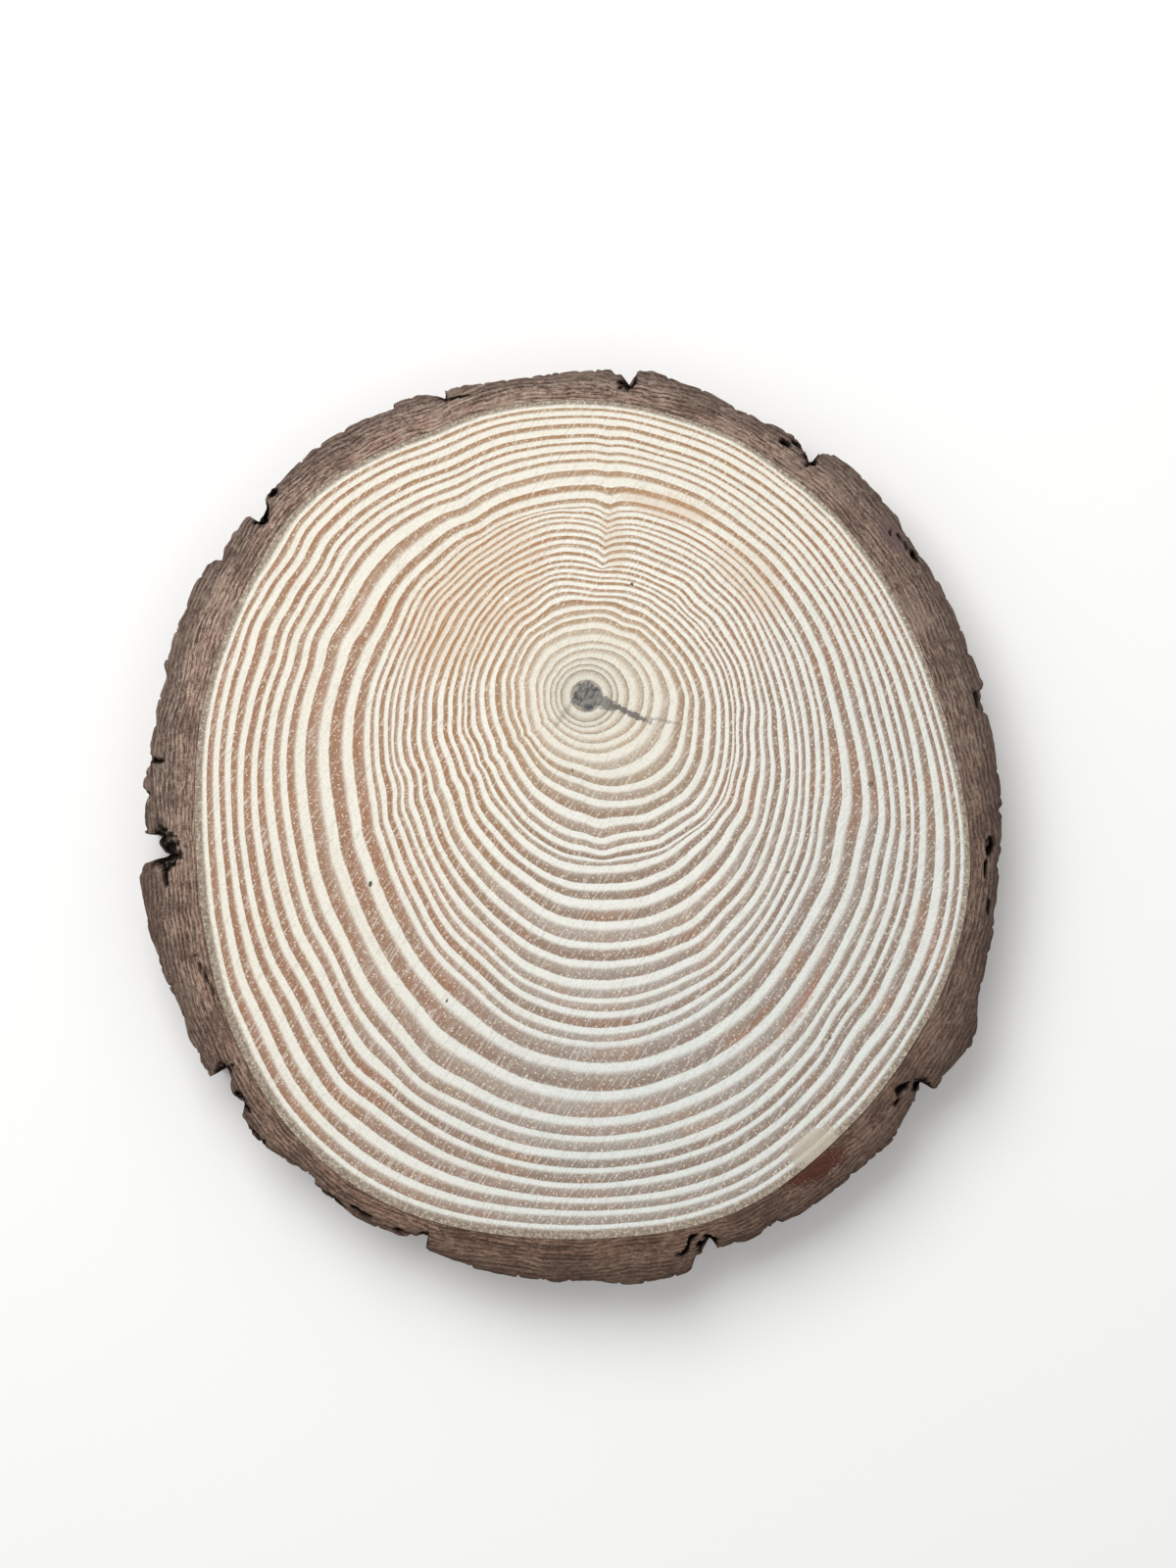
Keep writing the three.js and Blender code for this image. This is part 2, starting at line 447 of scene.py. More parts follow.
@dataclass(frozen=True)
class Rim:
    """The bark's outline at the upper saw cut, from the middle of the slice.

    Attributes:
        plates: direction of each place on the bark's plates, and how far out it lies.
        furrows: what splits the plates.
        hollows: the cracks and pits in the upper sawn face.
        wear: how far the outside is worn back half way up, in millimetres.
        ripples_round: how many ripples the wear makes round the slice.
        taper: how much the log narrows towards the lower cut, in millimetres.
        taper_lobes: how many sides of the log narrow more than the rest.
        furrow_change: share of a furrow's depth that comes and goes on its way down.
        crumble: how the furrows' walls waver, and crumble_turn by how many degrees.
        ragged: the rim's small bites, each with its depth in millimetres.
    """

    plates: tuple[tuple[float, float], ...] = (
        (0, 110.7), (8, 110.4), (15, 110.8), (20, 111.5), (30, 112.3), (38, 113.2), (41.5, 114.0),
        (44, 115.6), (52, 116.9), (54.6, 116.3), (56.3, 114.9), (60.5, 114.9), (68, 115.3), (75, 117.0),
        (81, 118.5), (85, 117.2), (91, 116.8), (99, 115.6), (105.5, 116.2), (111, 117.2), (123, 117.0),
        (131, 115.4), (137, 115.0), (147, 114.8), (152, 113.1), (158, 112.7), (160, 110.7), (168, 110.2),
        (174, 110.4), (180.5, 109.6), (186, 111.6), (197, 111.7), (206, 110.7), (209.5, 112.5),
        (214.5, 113.0), (224.5, 113.8), (231, 112.6), (241, 114.4), (247, 114.0), (251, 115.1),
        (261, 116.3), (270, 116.9), (282, 118.8), (284.8, 118.2), (286.4, 114.8), (291, 114.5),
        (293, 115.5), (303, 115.4), (315, 115.0), (321, 112.9), (324.2, 115.3), (331.8, 117.0),
        (338, 113.2), (345, 111.4), (354, 110.2),
    )
    furrows: tuple[Furrow, ...] = (
        Furrow(2.4, 1.0, 1.6, 0.8, 0.0, 1.0),
        Furrow(17.0, 1.0, 2.0, 2.0, 0.0, 1.5),
        Furrow(56.9, 3.4, 0.6, 3.0, -0.5, 5.0),
        Furrow(82.8, 4.0, 1.1, 1.9, -0.3, 3.0),
        Furrow(106.8, 2.2, 0.6, 2.6, -0.6, 2.5),
        Furrow(113.4, 1.0, 0.5, 3.2, -0.3, 1.5),
        Furrow(135.1, 3.4, 3.0, 1.0, 0.4, 5.0),
        Furrow(142.6, 1.8, 3.0, 1.6, 0.0, 1.0),
        Furrow(171.0, 1.2, 2.0, 1.8, 0.0, 3.0),
        Furrow(176.0, 1.6, 1.0, 3.0, -0.4, 2.0),
        Furrow(181.6, 5.2, 0.7, 5.0, -0.4, 3.0),
        Furrow(184.1, 8.0, 3.4, 1.1, 0.6, 4.0),
        Furrow(211.5, 0.8, 1.2, 1.2, 0.0, 0.5),
        Furrow(215.4, 4.8, 0.6, 8.0, -0.3, 3.0),
        Furrow(219.6, 3.6, 4.5, 2.4, 0.3, 4.0),
        Furrow(233.6, 1.0, 3.5, 0.9, 0.3, 1.5),
        Furrow(250.2, 3.2, 3.4, 0.8, 0.5, 4.5),
        Furrow(288.3, 3.2, 1.6, 0.9, 0.4, 6.0),
        Furrow(297.2, 1.0, 2.6, 0.8, 0.3, 1.5),
        Furrow(323.3, 3.8, 1.8, 0.7, 0.5, 4.5),
        Furrow(354.8, 0.7, 1.8, 2.0, 0.0, 2.0),
    )
    hollows: tuple[Hollow, ...] = (
        Hollow(60.8, 3.2, 1.6, 0.6, 4.0),
        Hollow(59.4, 2.0, 2.2, 0.4, 2.5),
        Hollow(38.2, 2.0, 1.5, 0.55, 4.0),
        Hollow(40.2, 2.6, 3.6, 0.24, 2.0),
        Hollow(42.6, 4.2, 0.9, 0.30, 2.0),
        Hollow(17.6, 3.0, 2.2, 0.5, 2.5),
        Hollow(105.2, 3.2, 3.6, 0.24, 2.0),
        Hollow(131.9, 1.4, 1.2, 0.9, 3.5),
        Hollow(134.9, 3.6, 2.6, 1.7, 5.0),
        Hollow(171.0, 3.0, 0.6, 2.0, 3.0),
        Hollow(186.4, 7.4, 3.4, 0.5, 4.0),
        Hollow(202.5, 10.3, 5.5, 0.35, 2.0),
        Hollow(221.0, 4.2, 1.6, 0.5, 4.0),
        Hollow(224.6, 1.0, 3.4, 0.8, 3.0),
        Hollow(237.6, 1.2, 3.2, 0.7, 2.5),
        Hollow(241.3, 2.4, 3.0, 0.6, 3.0),
        Hollow(247.6, 2.0, 2.6, 0.5, 2.5),
        Hollow(285.6, 5.6, 3.2, 0.7, 4.0),
        Hollow(287.2, 2.6, 0.9, 1.4, 6.0),
        Hollow(321.4, 5.6, 2.2, 0.8, 4.0),
        Hollow(319.6, 4.4, 1.2, 0.5, 3.0),
        Hollow(357.0, 3.6, 2.4, 0.9, 5.0),
        Hollow(354.0, 4.2, 2.4, 0.35, 4.0),
        Hollow(349.0, 2.6, 2.6, 0.35, 2.5),
    )
    wear: float = 1.1
    ripples_round: int = 23
    taper: float = 1.2
    taper_lobes: int = 3
    furrow_change: float = 0.25
    crumble: Unevenness = Unevenness(seed=24, around=520, along=5)
    crumble_turn: float = 0.45
    ragged: tuple[tuple[float, Unevenness], ...] = (
        (0.55, Unevenness(seed=21, around=110, along=4)),
        (0.30, Unevenness(seed=22, around=260, along=6)),
        (0.10, Unevenness(seed=23, around=620, along=10)),
    )

    def plate(self, degrees: np.ndarray) -> np.ndarray:
        """Distance from the middle to the bark's plates, eased from one listed place to the next.

        Args:
            degrees: direction of each place.

        Returns:
            The distances, in millimetres.
        """
        places = np.array(self.plates + ((FULL_TURN, self.plates[0][1]),))
        turn = degrees % FULL_TURN
        after = np.clip(np.searchsorted(places[:, 0], turn, side="right"), 1, len(places) - 1)
        (from_turn, from_reach), (to_turn, to_reach) = places[after - 1].T, places[after].T
        return from_reach + (to_reach - from_reach) * smooth((turn - from_turn) / (to_turn - from_turn))

    def reach(self, degrees: np.ndarray, height: np.ndarray) -> np.ndarray:
        """Distance from the middle to the bark's surface.

        Args:
            degrees: direction from the middle of the slice.
            height: 0 at the lower saw cut and 1 at the upper.

        Returns:
            The distance in millimetres.
        """
        cut = np.zeros_like(degrees)
        crumbled = degrees + self.crumble_turn * self.crumble.at(degrees, height)
        for furrow in self.furrows:
            change = 1 + self.furrow_change * np.sin(furrow.at + np.pi * (1 - height)) * (1 - height)
            cut = np.maximum(cut, furrow.depth * furrow.opening(crumbled) * change)
        turn = np.radians(degrees)
        ripples = 0.5 + 0.5 * np.sin(self.ripples_round * turn + 2 * height)
        worn = self.wear * np.sin(np.pi * height) * ripples
        tapered = self.taper * (1 - height) * (0.5 + 0.5 * np.sin(self.taper_lobes * turn + 1))
        rough = sum(depth * (0.5 + 0.5 * bites.at(degrees, height)) for depth, bites in self.ragged)
        return self.plate(degrees) - cut - worn - tapered - rough


class Sheet:
    """A mesh's vertices and corners as arrays, so that a whole surface is moved at once."""

    def __init__(self, mesh: bpy.types.Mesh) -> None:
        """Reads the mesh."""
        self.mesh = mesh
        self.places = self._read(mesh.vertices, "co", 3, np.float32).astype(float)
        self.corners = self._read(mesh.loops, "vertex_index", 1, np.int32)

    @staticmethod
    def _read(items: bpy.types.bpy_prop_collection, name: str, width: int, kind: type) -> np.ndarray:
        """One property of every item, as a row for each.

        Args:
            items: vertices, corners or faces.
            name: the property.
            width: how many numbers it has.
            kind: their type.

        Returns:
            The numbers.
        """
        values = np.empty(len(items) * width, kind)
        items.foreach_get(name, values)
        return values.reshape(-1, width) if width > 1 else values

    def round_axis(self) -> tuple[np.ndarray, np.ndarray, np.ndarray]:
        """How far each vertex lies from the Z axis, in which direction, and how high."""
        x, y, z = self.places.T
        return np.hypot(x, y), direction_of(x, y), z

    def move(self, places: np.ndarray) -> None:
        """Puts the vertices at these places, in metres."""
        self.mesh.vertices.foreach_set("co", places.astype(np.float32).ravel())
        self.mesh.update()

    def note(self, name: str, values: np.ndarray) -> None:
        """Keeps one number for each vertex, which a finish can read."""
        layer = self.mesh.attributes.new(name, "FLOAT", "POINT")
        layer.data.foreach_set("value", values.astype(np.float32))

    def face_of_corner(self) -> np.ndarray:
        """The face that each corner belongs to."""
        counts = self._read(self.mesh.polygons, "loop_total", 1, np.int32)
        return np.repeat(np.arange(len(counts)), counts)

    def of_face(self, values: np.ndarray) -> np.ndarray:
        """The mean over each face of its corners' values."""
        face = self.face_of_corner()
        return np.bincount(face, values) / np.bincount(face)

    def lay_out(self, places: np.ndarray) -> None:
        """Gives each corner its place on the flat map that the finish is baked through."""
        layer = self.mesh.uv_layers.new(name="OFBake")
        layer.data.foreach_set("uv", places.astype(np.float32).ravel())


def lathe(name: str, profile: list[tuple[float, float]], steps: int, closed: bool) -> bpy.types.Object:
    """Turns a profile round the Z axis into one closed piece, by rolling up a flat sheet.

    Args:
        name: the piece's name.
        profile: distance from the axis and height of each point.
        steps: how many steps the full turn has.
        closed: whether the profile's last point joins its first, as round a ring.

    Returns:
        The piece's object, with its faces pointing out.
    """
    tiny = 1e-5
    rows = len(profile) if closed else len(profile) - 1
    bm = bmesh.new()
    bmesh.ops.create_grid(bm, x_segments=steps, y_segments=rows, size=1.0)
    for vert in bm.verts:
        turn = round((vert.co.x + 1) / 2 * steps) % steps * math.tau / steps
        reach, height = profile[round((vert.co.y + 1) / 2 * rows) % len(profile)]
        vert.co = (reach * math.cos(turn), reach * math.sin(turn), height)
    bmesh.ops.remove_doubles(bm, verts=bm.verts, dist=tiny)
    bmesh.ops.recalc_face_normals(bm, faces=bm.faces)
    mesh = bpy.data.meshes.new(name)
    bm.to_mesh(mesh)
    bm.free()
    piece = bpy.data.objects.new(name, mesh)
    bpy.context.collection.objects.link(piece)
    return piece


def finish(piece: bpy.types.Object, sharp_from: float, *materials: bpy.types.Material) -> None:
    """Smooths a piece, keeps edges of more than sharp_from degrees sharp, and gives it its materials.

    Args:
        piece: the piece.
        sharp_from: the least angle of a sharp edge, in degrees.
        materials: its materials in the order of their slots.
    """
    piece.data.shade_smooth()
    piece.data.set_sharp_from_angle(angle=math.radians(sharp_from))
    for material in materials:
        piece.data.materials.append(material)


@dataclass(frozen=True)
class Slice:
    """Where the slice lies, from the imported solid, and the rim and trunk that it was sawn from.

    Attributes:
        low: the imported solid's lowest corner, in metres.
        high: its highest corner, in metres.
        trunk: how its rings grew.
        rim: the outline of its bark.
        pith_x: millimetres from the middle to the pith, to the right.
        pith_y: millimetres from the middle to the pith, upwards.
    """

    low: tuple[float, float, float]
    high: tuple[float, float, float]
    trunk: Trunk = Trunk()
    rim: Rim = Rim()
    pith_x: float = 3.9
    pith_y: float = 33.1

    @property
    def thickness(self) -> float:
        """From saw cut to saw cut, in millimetres."""
        return (self.high[2] - self.low[2]) / MM

    def place(self, x: np.ndarray, y: np.ndarray, z: np.ndarray) -> np.ndarray:
        """Puts places measured from the middle of the slice into the frame.

        Args:
            x: millimetres to the right of the middle.
            y: millimetres up from the middle.
            z: millimetres above the lower saw cut.

        Returns:
            A row of metres for each place.
        """
        turn = np.linspace(0, FULL_TURN, 1440, endpoint=False)
        rim = np.stack(set_out(turn, self.rim.reach(turn, np.ones_like(turn))), 1)
        low, high = np.array(self.low), np.array(self.high)
        scale = (high - low)[:2] / (np.ptp(rim, axis=0) * MM)
        middle = (low + high)[:2] / 2 - scale * (rim.min(0) + rim.max(0)) / 2 * MM
        flat = np.stack([x, y], 1) * MM * scale + middle
        return np.column_stack([flat, low[2] + z * MM])

    def from_pith(self, degrees: np.ndarray, reach: np.ndarray) -> tuple[np.ndarray, np.ndarray]:
        """X and Y, from the middle of the slice, of a place so far from the pith."""
        x, y = set_out(degrees, reach)
        return self.pith_x + x, self.pith_y + y

    def wood_edge(self, degrees: np.ndarray, height: np.ndarray) -> np.ndarray:
        """Distance from the middle of the slice to where the wood ends, in each direction.

        Args:
            degrees: direction of each place.
            height: 0 at the lower saw cut and 1 at the upper.

        Returns:
            The distances, in millimetres.
        """
        turn = np.arange(0, FULL_TURN, 0.25)
        full_age = np.full_like(turn, self.trunk.age)
        edges = []
        for lower in (1.0, 0.0):
            x, y = self.from_pith(turn, self.trunk.reach(full_age, turn, np.full_like(turn, lower)))
            seen, edge = direction_of(x, y), np.hypot(x, y)
            edges.append(np.interp(degrees % FULL_TURN, seen, edge, period=FULL_TURN))
        return edges[0] * (1 - height) + edges[1] * height


def paint(code: str) -> tuple[float, float, float, float]:
    """A colour as shader nodes take it, from its red, green and blue in hexadecimal."""
    shares = [int(code[i : i + 2], 16) / 255 for i in (0, 2, 4)]
    linear = [share / 12.92 if share <= 0.04045 else ((share + 0.055) / 1.055) ** 2.4 for share in shares]
    return (*linear, 1.0)


class Wire:
    """A node's output that can stand in an expression, which adds the Math nodes it needs."""

    def __init__(self, bench: "Bench", socket: bpy.types.NodeSocket) -> None:
        """Keeps the output and the bench that its nodes go on."""
        self.bench = bench
        self.socket = socket

    def _math(self, operation: str, *terms: "Wire | float") -> "Wire":
        """One Math node on these terms."""
        return self.bench.node("ShaderNodeMath", {"operation": operation}, dict(enumerate(terms)))

    def __add__(self, other: "Wire | float") -> "Wire":
        """Sum."""
        return self._math("ADD", self, other)

    def __radd__(self, other: float) -> "Wire":
        """Sum with the number first."""
        return self._math("ADD", other, self)

    def __sub__(self, other: "Wire | float") -> "Wire":
        """Difference."""
        return self._math("SUBTRACT", self, other)

    def __rsub__(self, other: float) -> "Wire":
        """Difference with the number first."""
        return self._math("SUBTRACT", other, self)

    def __mul__(self, other: "Wire | float") -> "Wire":
        """Product."""
        return self._math("MULTIPLY", self, other)

    def __rmul__(self, other: float) -> "Wire":
        """Product with the number first."""
        return self._math("MULTIPLY", other, self)

    def floor(self) -> "Wire":
        """The whole number below."""
        return self._math("FLOOR", self)

    def fraction(self) -> "Wire":
        """What is left above the whole number."""
        return self._math("FRACT", self)

    def top(self, other: "Wire | float") -> "Wire":
        """The greater of the two."""
        return self._math("MAXIMUM", self, other)


class Bench:
    """Where the nodes of one material are put together."""

    def __init__(self, name: str) -> None:
        """Starts a material with an empty surface."""
        self.material = bpy.data.materials.new(name)
        self.material.use_nodes = True
        self.nodes = self.material.node_tree.nodes
        self.links = self.material.node_tree.links
        self.surface = self.nodes["Principled BSDF"]

    def node(
        self,
        kind: str,
        settings: dict[str, object],
        values: dict[int | str, object],
        output: int | str = 0,
    ) -> Wire:
        """Adds one node.

        Args:
            kind: the node's type.
            settings: its properties, set before its sockets.
            values: a number, a colour, a vector or a wire for each socket.
            output: the output to hand back.

        Returns:
            The wire from that output.
        """
        node = self.nodes.new(kind)
        for name, value in settings.items():
            setattr(node, name, value)
        for name, value in values.items():
            if isinstance(value, Wire):
                self.links.new(value.socket, node.inputs[name])
            else:
                node.inputs[name].default_value = value
        return Wire(self, node.outputs[output])

    def noted(self, name: str) -> Wire:
        """A number that the mesh keeps for each vertex."""
        return self.node("ShaderNodeAttribute", {"attribute_name": name}, {}, "Fac")

    def place(self) -> Wire:
        """The place on the piece, in millimetres."""
        metres = self.node("ShaderNodeTexCoord", {}, {}, "Object")
        return self.node("ShaderNodeVectorMath", {"operation": "SCALE"}, {0: metres, "Scale": 1 / MM})

    def turned(self, place: Wire, degrees: float, stretch: tuple[float, float, float]) -> Wire:
        """A place turned about Z and then stretched, which draws a pattern out along one way.

        Args:
            place: the place in millimetres.
            degrees: how far to turn it.
            stretch: how much to stretch it along X, Y and Z.

        Returns:
            The turned and stretched place.
        """
        values = {"Vector": place, "Angle": math.radians(degrees)}
        turned = self.node("ShaderNodeVectorRotate", {"rotation_type": "Z_AXIS"}, values)
        return self.node("ShaderNodeVectorMath", {"operation": "MULTIPLY"}, {0: turned, 1: stretch})

    def noise(self, place: Wire, scale: float, detail: float = 2.0, roughness: float = 0.5) -> Wire:
        """Soft random patches of about 1 / scale, from 0 to 1."""
        values = {"Vector": place, "Scale": scale, "Detail": detail, "Roughness": roughness}
        return self.node("ShaderNodeTexNoise", {}, values)

    def along(self, place: Wire, across: Wire, scale: float) -> Wire:
        """Noise drawn out along curved layers.

        Args:
            place: the place in millimetres.
            across: a number that climbs across the layers and stays the same along them.
            scale: how quickly the noise changes along a layer.

        Returns:
            The noise, from 0 to 1.
        """
        parts = self.nodes.new("ShaderNodeSeparateXYZ")
        self.links.new(place.socket, parts.inputs[0])
        x, y = Wire(self, parts.outputs[0]) * scale, Wire(self, parts.outputs[1]) * scale
        drawn = self.node("ShaderNodeCombineXYZ", {}, {0: across, 1: x, 2: y})
        return self.noise(drawn, 1.0, detail=3.0, roughness=0.6)

    def cells(self, place: Wire, scale: float) -> Wire:
        """Distance to the nearest of many random points on the flat, in widths of their spacing."""
        settings = {"voronoi_dimensions": "2D"}
        return self.node("ShaderNodeTexVoronoi", settings, {"Vector": place, "Scale": scale}, "Distance")

    def same(self, value: Wire, number: float) -> Wire:
        """1 where the value is this whole number, and 0 elsewhere."""
        within = 0.5
        values = {0: value, 1: float(number), 2: within}
        return self.node("ShaderNodeMath", {"operation": "COMPARE"}, values)

    def ease(self, value: Wire, start: "Wire | float", end: "Wire | float") -> Wire:
        """0 below start, 1 above end, and smooth between.

        Args:
            value: the value to ease.
            start: where it starts.
            end: where it ends.

        Returns:
            A number from 0 to 1.
        """
        settings = {"interpolation_type": "SMOOTHSTEP"}
        values = {"Value": value, "From Min": start, "From Max": end}
        return self.node("ShaderNodeMapRange", settings, values)

    def mix(self, share: "Wire | float", first: object, second: object, way: str = "MIX") -> Wire:
        """One colour turned into another by share.

        Args:
            share: how much of the second colour shows.
            first: the first colour.
            second: the second colour.
            way: how the second goes over the first.

        Returns:
            The mixed colour.
        """
        settings = {"data_type": "RGBA", "blend_type": way, "clamp_factor": True}
        return self.node("ShaderNodeMix", settings, {0: share, 6: first, 7: second}, 2)

    def dress(
        self, colour: Wire, roughness: Wire, relief: Wire, height: float, specular: float
    ) -> bpy.types.Material:
        """Joins the finished colour, roughness and relief to the surface.

        Args:
            colour: the base colour.
            roughness: how matt it is.
            relief: its small highs and lows, from 0 to 1.
            height: how high they are, in metres.
            specular: how much it mirrors, the same all over.

        Returns:
            The material.
        """
        values = {"Strength": 1.0, "Distance": height, "Height": relief}
        bump = self.node("ShaderNodeBump", {}, values, "Normal")
        for name, wire in (("Base Color", colour), ("Roughness", roughness), ("Normal", bump)):
            self.links.new(wire.socket, self.surface.inputs[name])
        self.surface.inputs["Specular IOR Level"].default_value = specular
        return self.material


class Pattern(Enum):
    """What a wash of colour follows over a surface."""

    AGE = "years from the pith"
    SEASON = "share of the year"
    DARK = "how far the wood has turned dark"
    STREAKS = "streaks along the rings"
    MARKS = "saw marks"
    FIBRE = "fibres"
    SHEETS = "thick layers of bark"
    FINE = "thin layers of bark"
    LINES = "the step from one layer to the next"
    ROWS = "rows of fibres in a layer"
    GRAIN = "small grains"
    WEATHER = "weathered patches"
    RIND = "nearness to the bark's outside"
    FLAKE = "how worn a scale is"
    DUST = "dusty patches"


@dataclass(frozen=True)
class Wash:
    """A thin coat of one colour that shows where a pattern is high, or low if its end is below its start.

    Attributes:
        pattern: what it follows.
        colour: its colour.
        start: the pattern's value where it begins to show.
        end: the pattern's value where it shows most.
        strength: how much it covers there, up to 1.
        fades: the pattern's value where it begins to fade again, if it does.
        gone: the pattern's value where it has faded.
    """

    pattern: Pattern
    colour: str
    start: float
    end: float
    strength: float
    fades: float | None = None
    gone: float | None = None

    def share(self, bench: Bench, follows: Wire) -> Wire:
        """How much it covers where its pattern has this value."""
        share = bench.ease(follows, self.start, self.end)
        if self.fades is not None:
            share = share * bench.ease(follows, self.gone, self.fades)
        return share * self.strength


def coat(
    bench: Bench,
    base: Wire | tuple[float, ...],
    washes: tuple[Wash, ...],
    patterns: dict[Pattern, Wire],
    mask: Wire | None = None,
) -> Wire:
    """Lays washes over a base colour, one after the other.

    Args:
        bench: where the material is put together.
        base: the colour below.
        washes: the coats.
        patterns: the surface's patterns.
        mask: where the coats may show, from 0 to 1, or None for everywhere.

    Returns:
        The colour with all coats on.
    """
    for wash in washes:
        share = wash.share(bench, patterns[wash.pattern])
        base = bench.mix(share if mask is None else mask * share, base, paint(wash.colour))
    return base


@dataclass(frozen=True)
class Stain:
    """A mark soaked into the upper sawn face, as a soft oval.

    Attributes:
        x: millimetres to the right of the slice's middle.
        y: millimetres up from the slice's middle.
        half_length: half its length.
        half_width: half its width.
        turn: how far its length is turned from +X.
        colour: its colour.
        strength: how much of the wood it covers, up to 1.
        ragged: how uneven its outline is.
        whole: how far out it stays whole, as a share of its size.
        ends: how far out it ends, as a share of its size.
    """

    x: float
    y: float
    half_length: float
    half_width: float
    turn: float
    colour: str
    strength: float
    ragged: float = 0.6
    whole: float = 0.75
    ends: float = 1.1

    def soak(self, bench: Bench, place: Wire, mottle: Wire, colour: Wire, height: float) -> Wire:
        """The colour with the stain over it, for a face at this height.

        Args:
            bench: where the material is put together.
            place: the place on the piece, in millimetres.
            mottle: a random pattern that makes its outline uneven.
            colour: the colour below.
            height: height of the face, in millimetres.

        Returns:
            The colour with the stain on.
        """
        centre = (self.x, self.y, height)
        values = {"Vector": place, "Center": centre, "Angle": math.radians(-self.turn)}
        turned = bench.node("ShaderNodeVectorRotate", {"rotation_type": "Z_AXIS"}, values)
        middle = bench.node("ShaderNodeVectorMath", {"operation": "SUBTRACT"}, {0: turned, 1: centre})
        half_depth = 2.0
        shape = (1 / self.half_length, 1 / self.half_width, 1 / half_depth)
        scaled = bench.node("ShaderNodeVectorMath", {"operation": "MULTIPLY"}, {0: middle, 1: shape})
        far = bench.node("ShaderNodeVectorMath", {"operation": "LENGTH"}, {0: scaled}, "Value")
        inside = 1 - bench.ease(far + (mottle - 0.5) * self.ragged * 2, self.whole, self.ends)
        return bench.mix(inside * self.strength, colour, paint(self.colour))


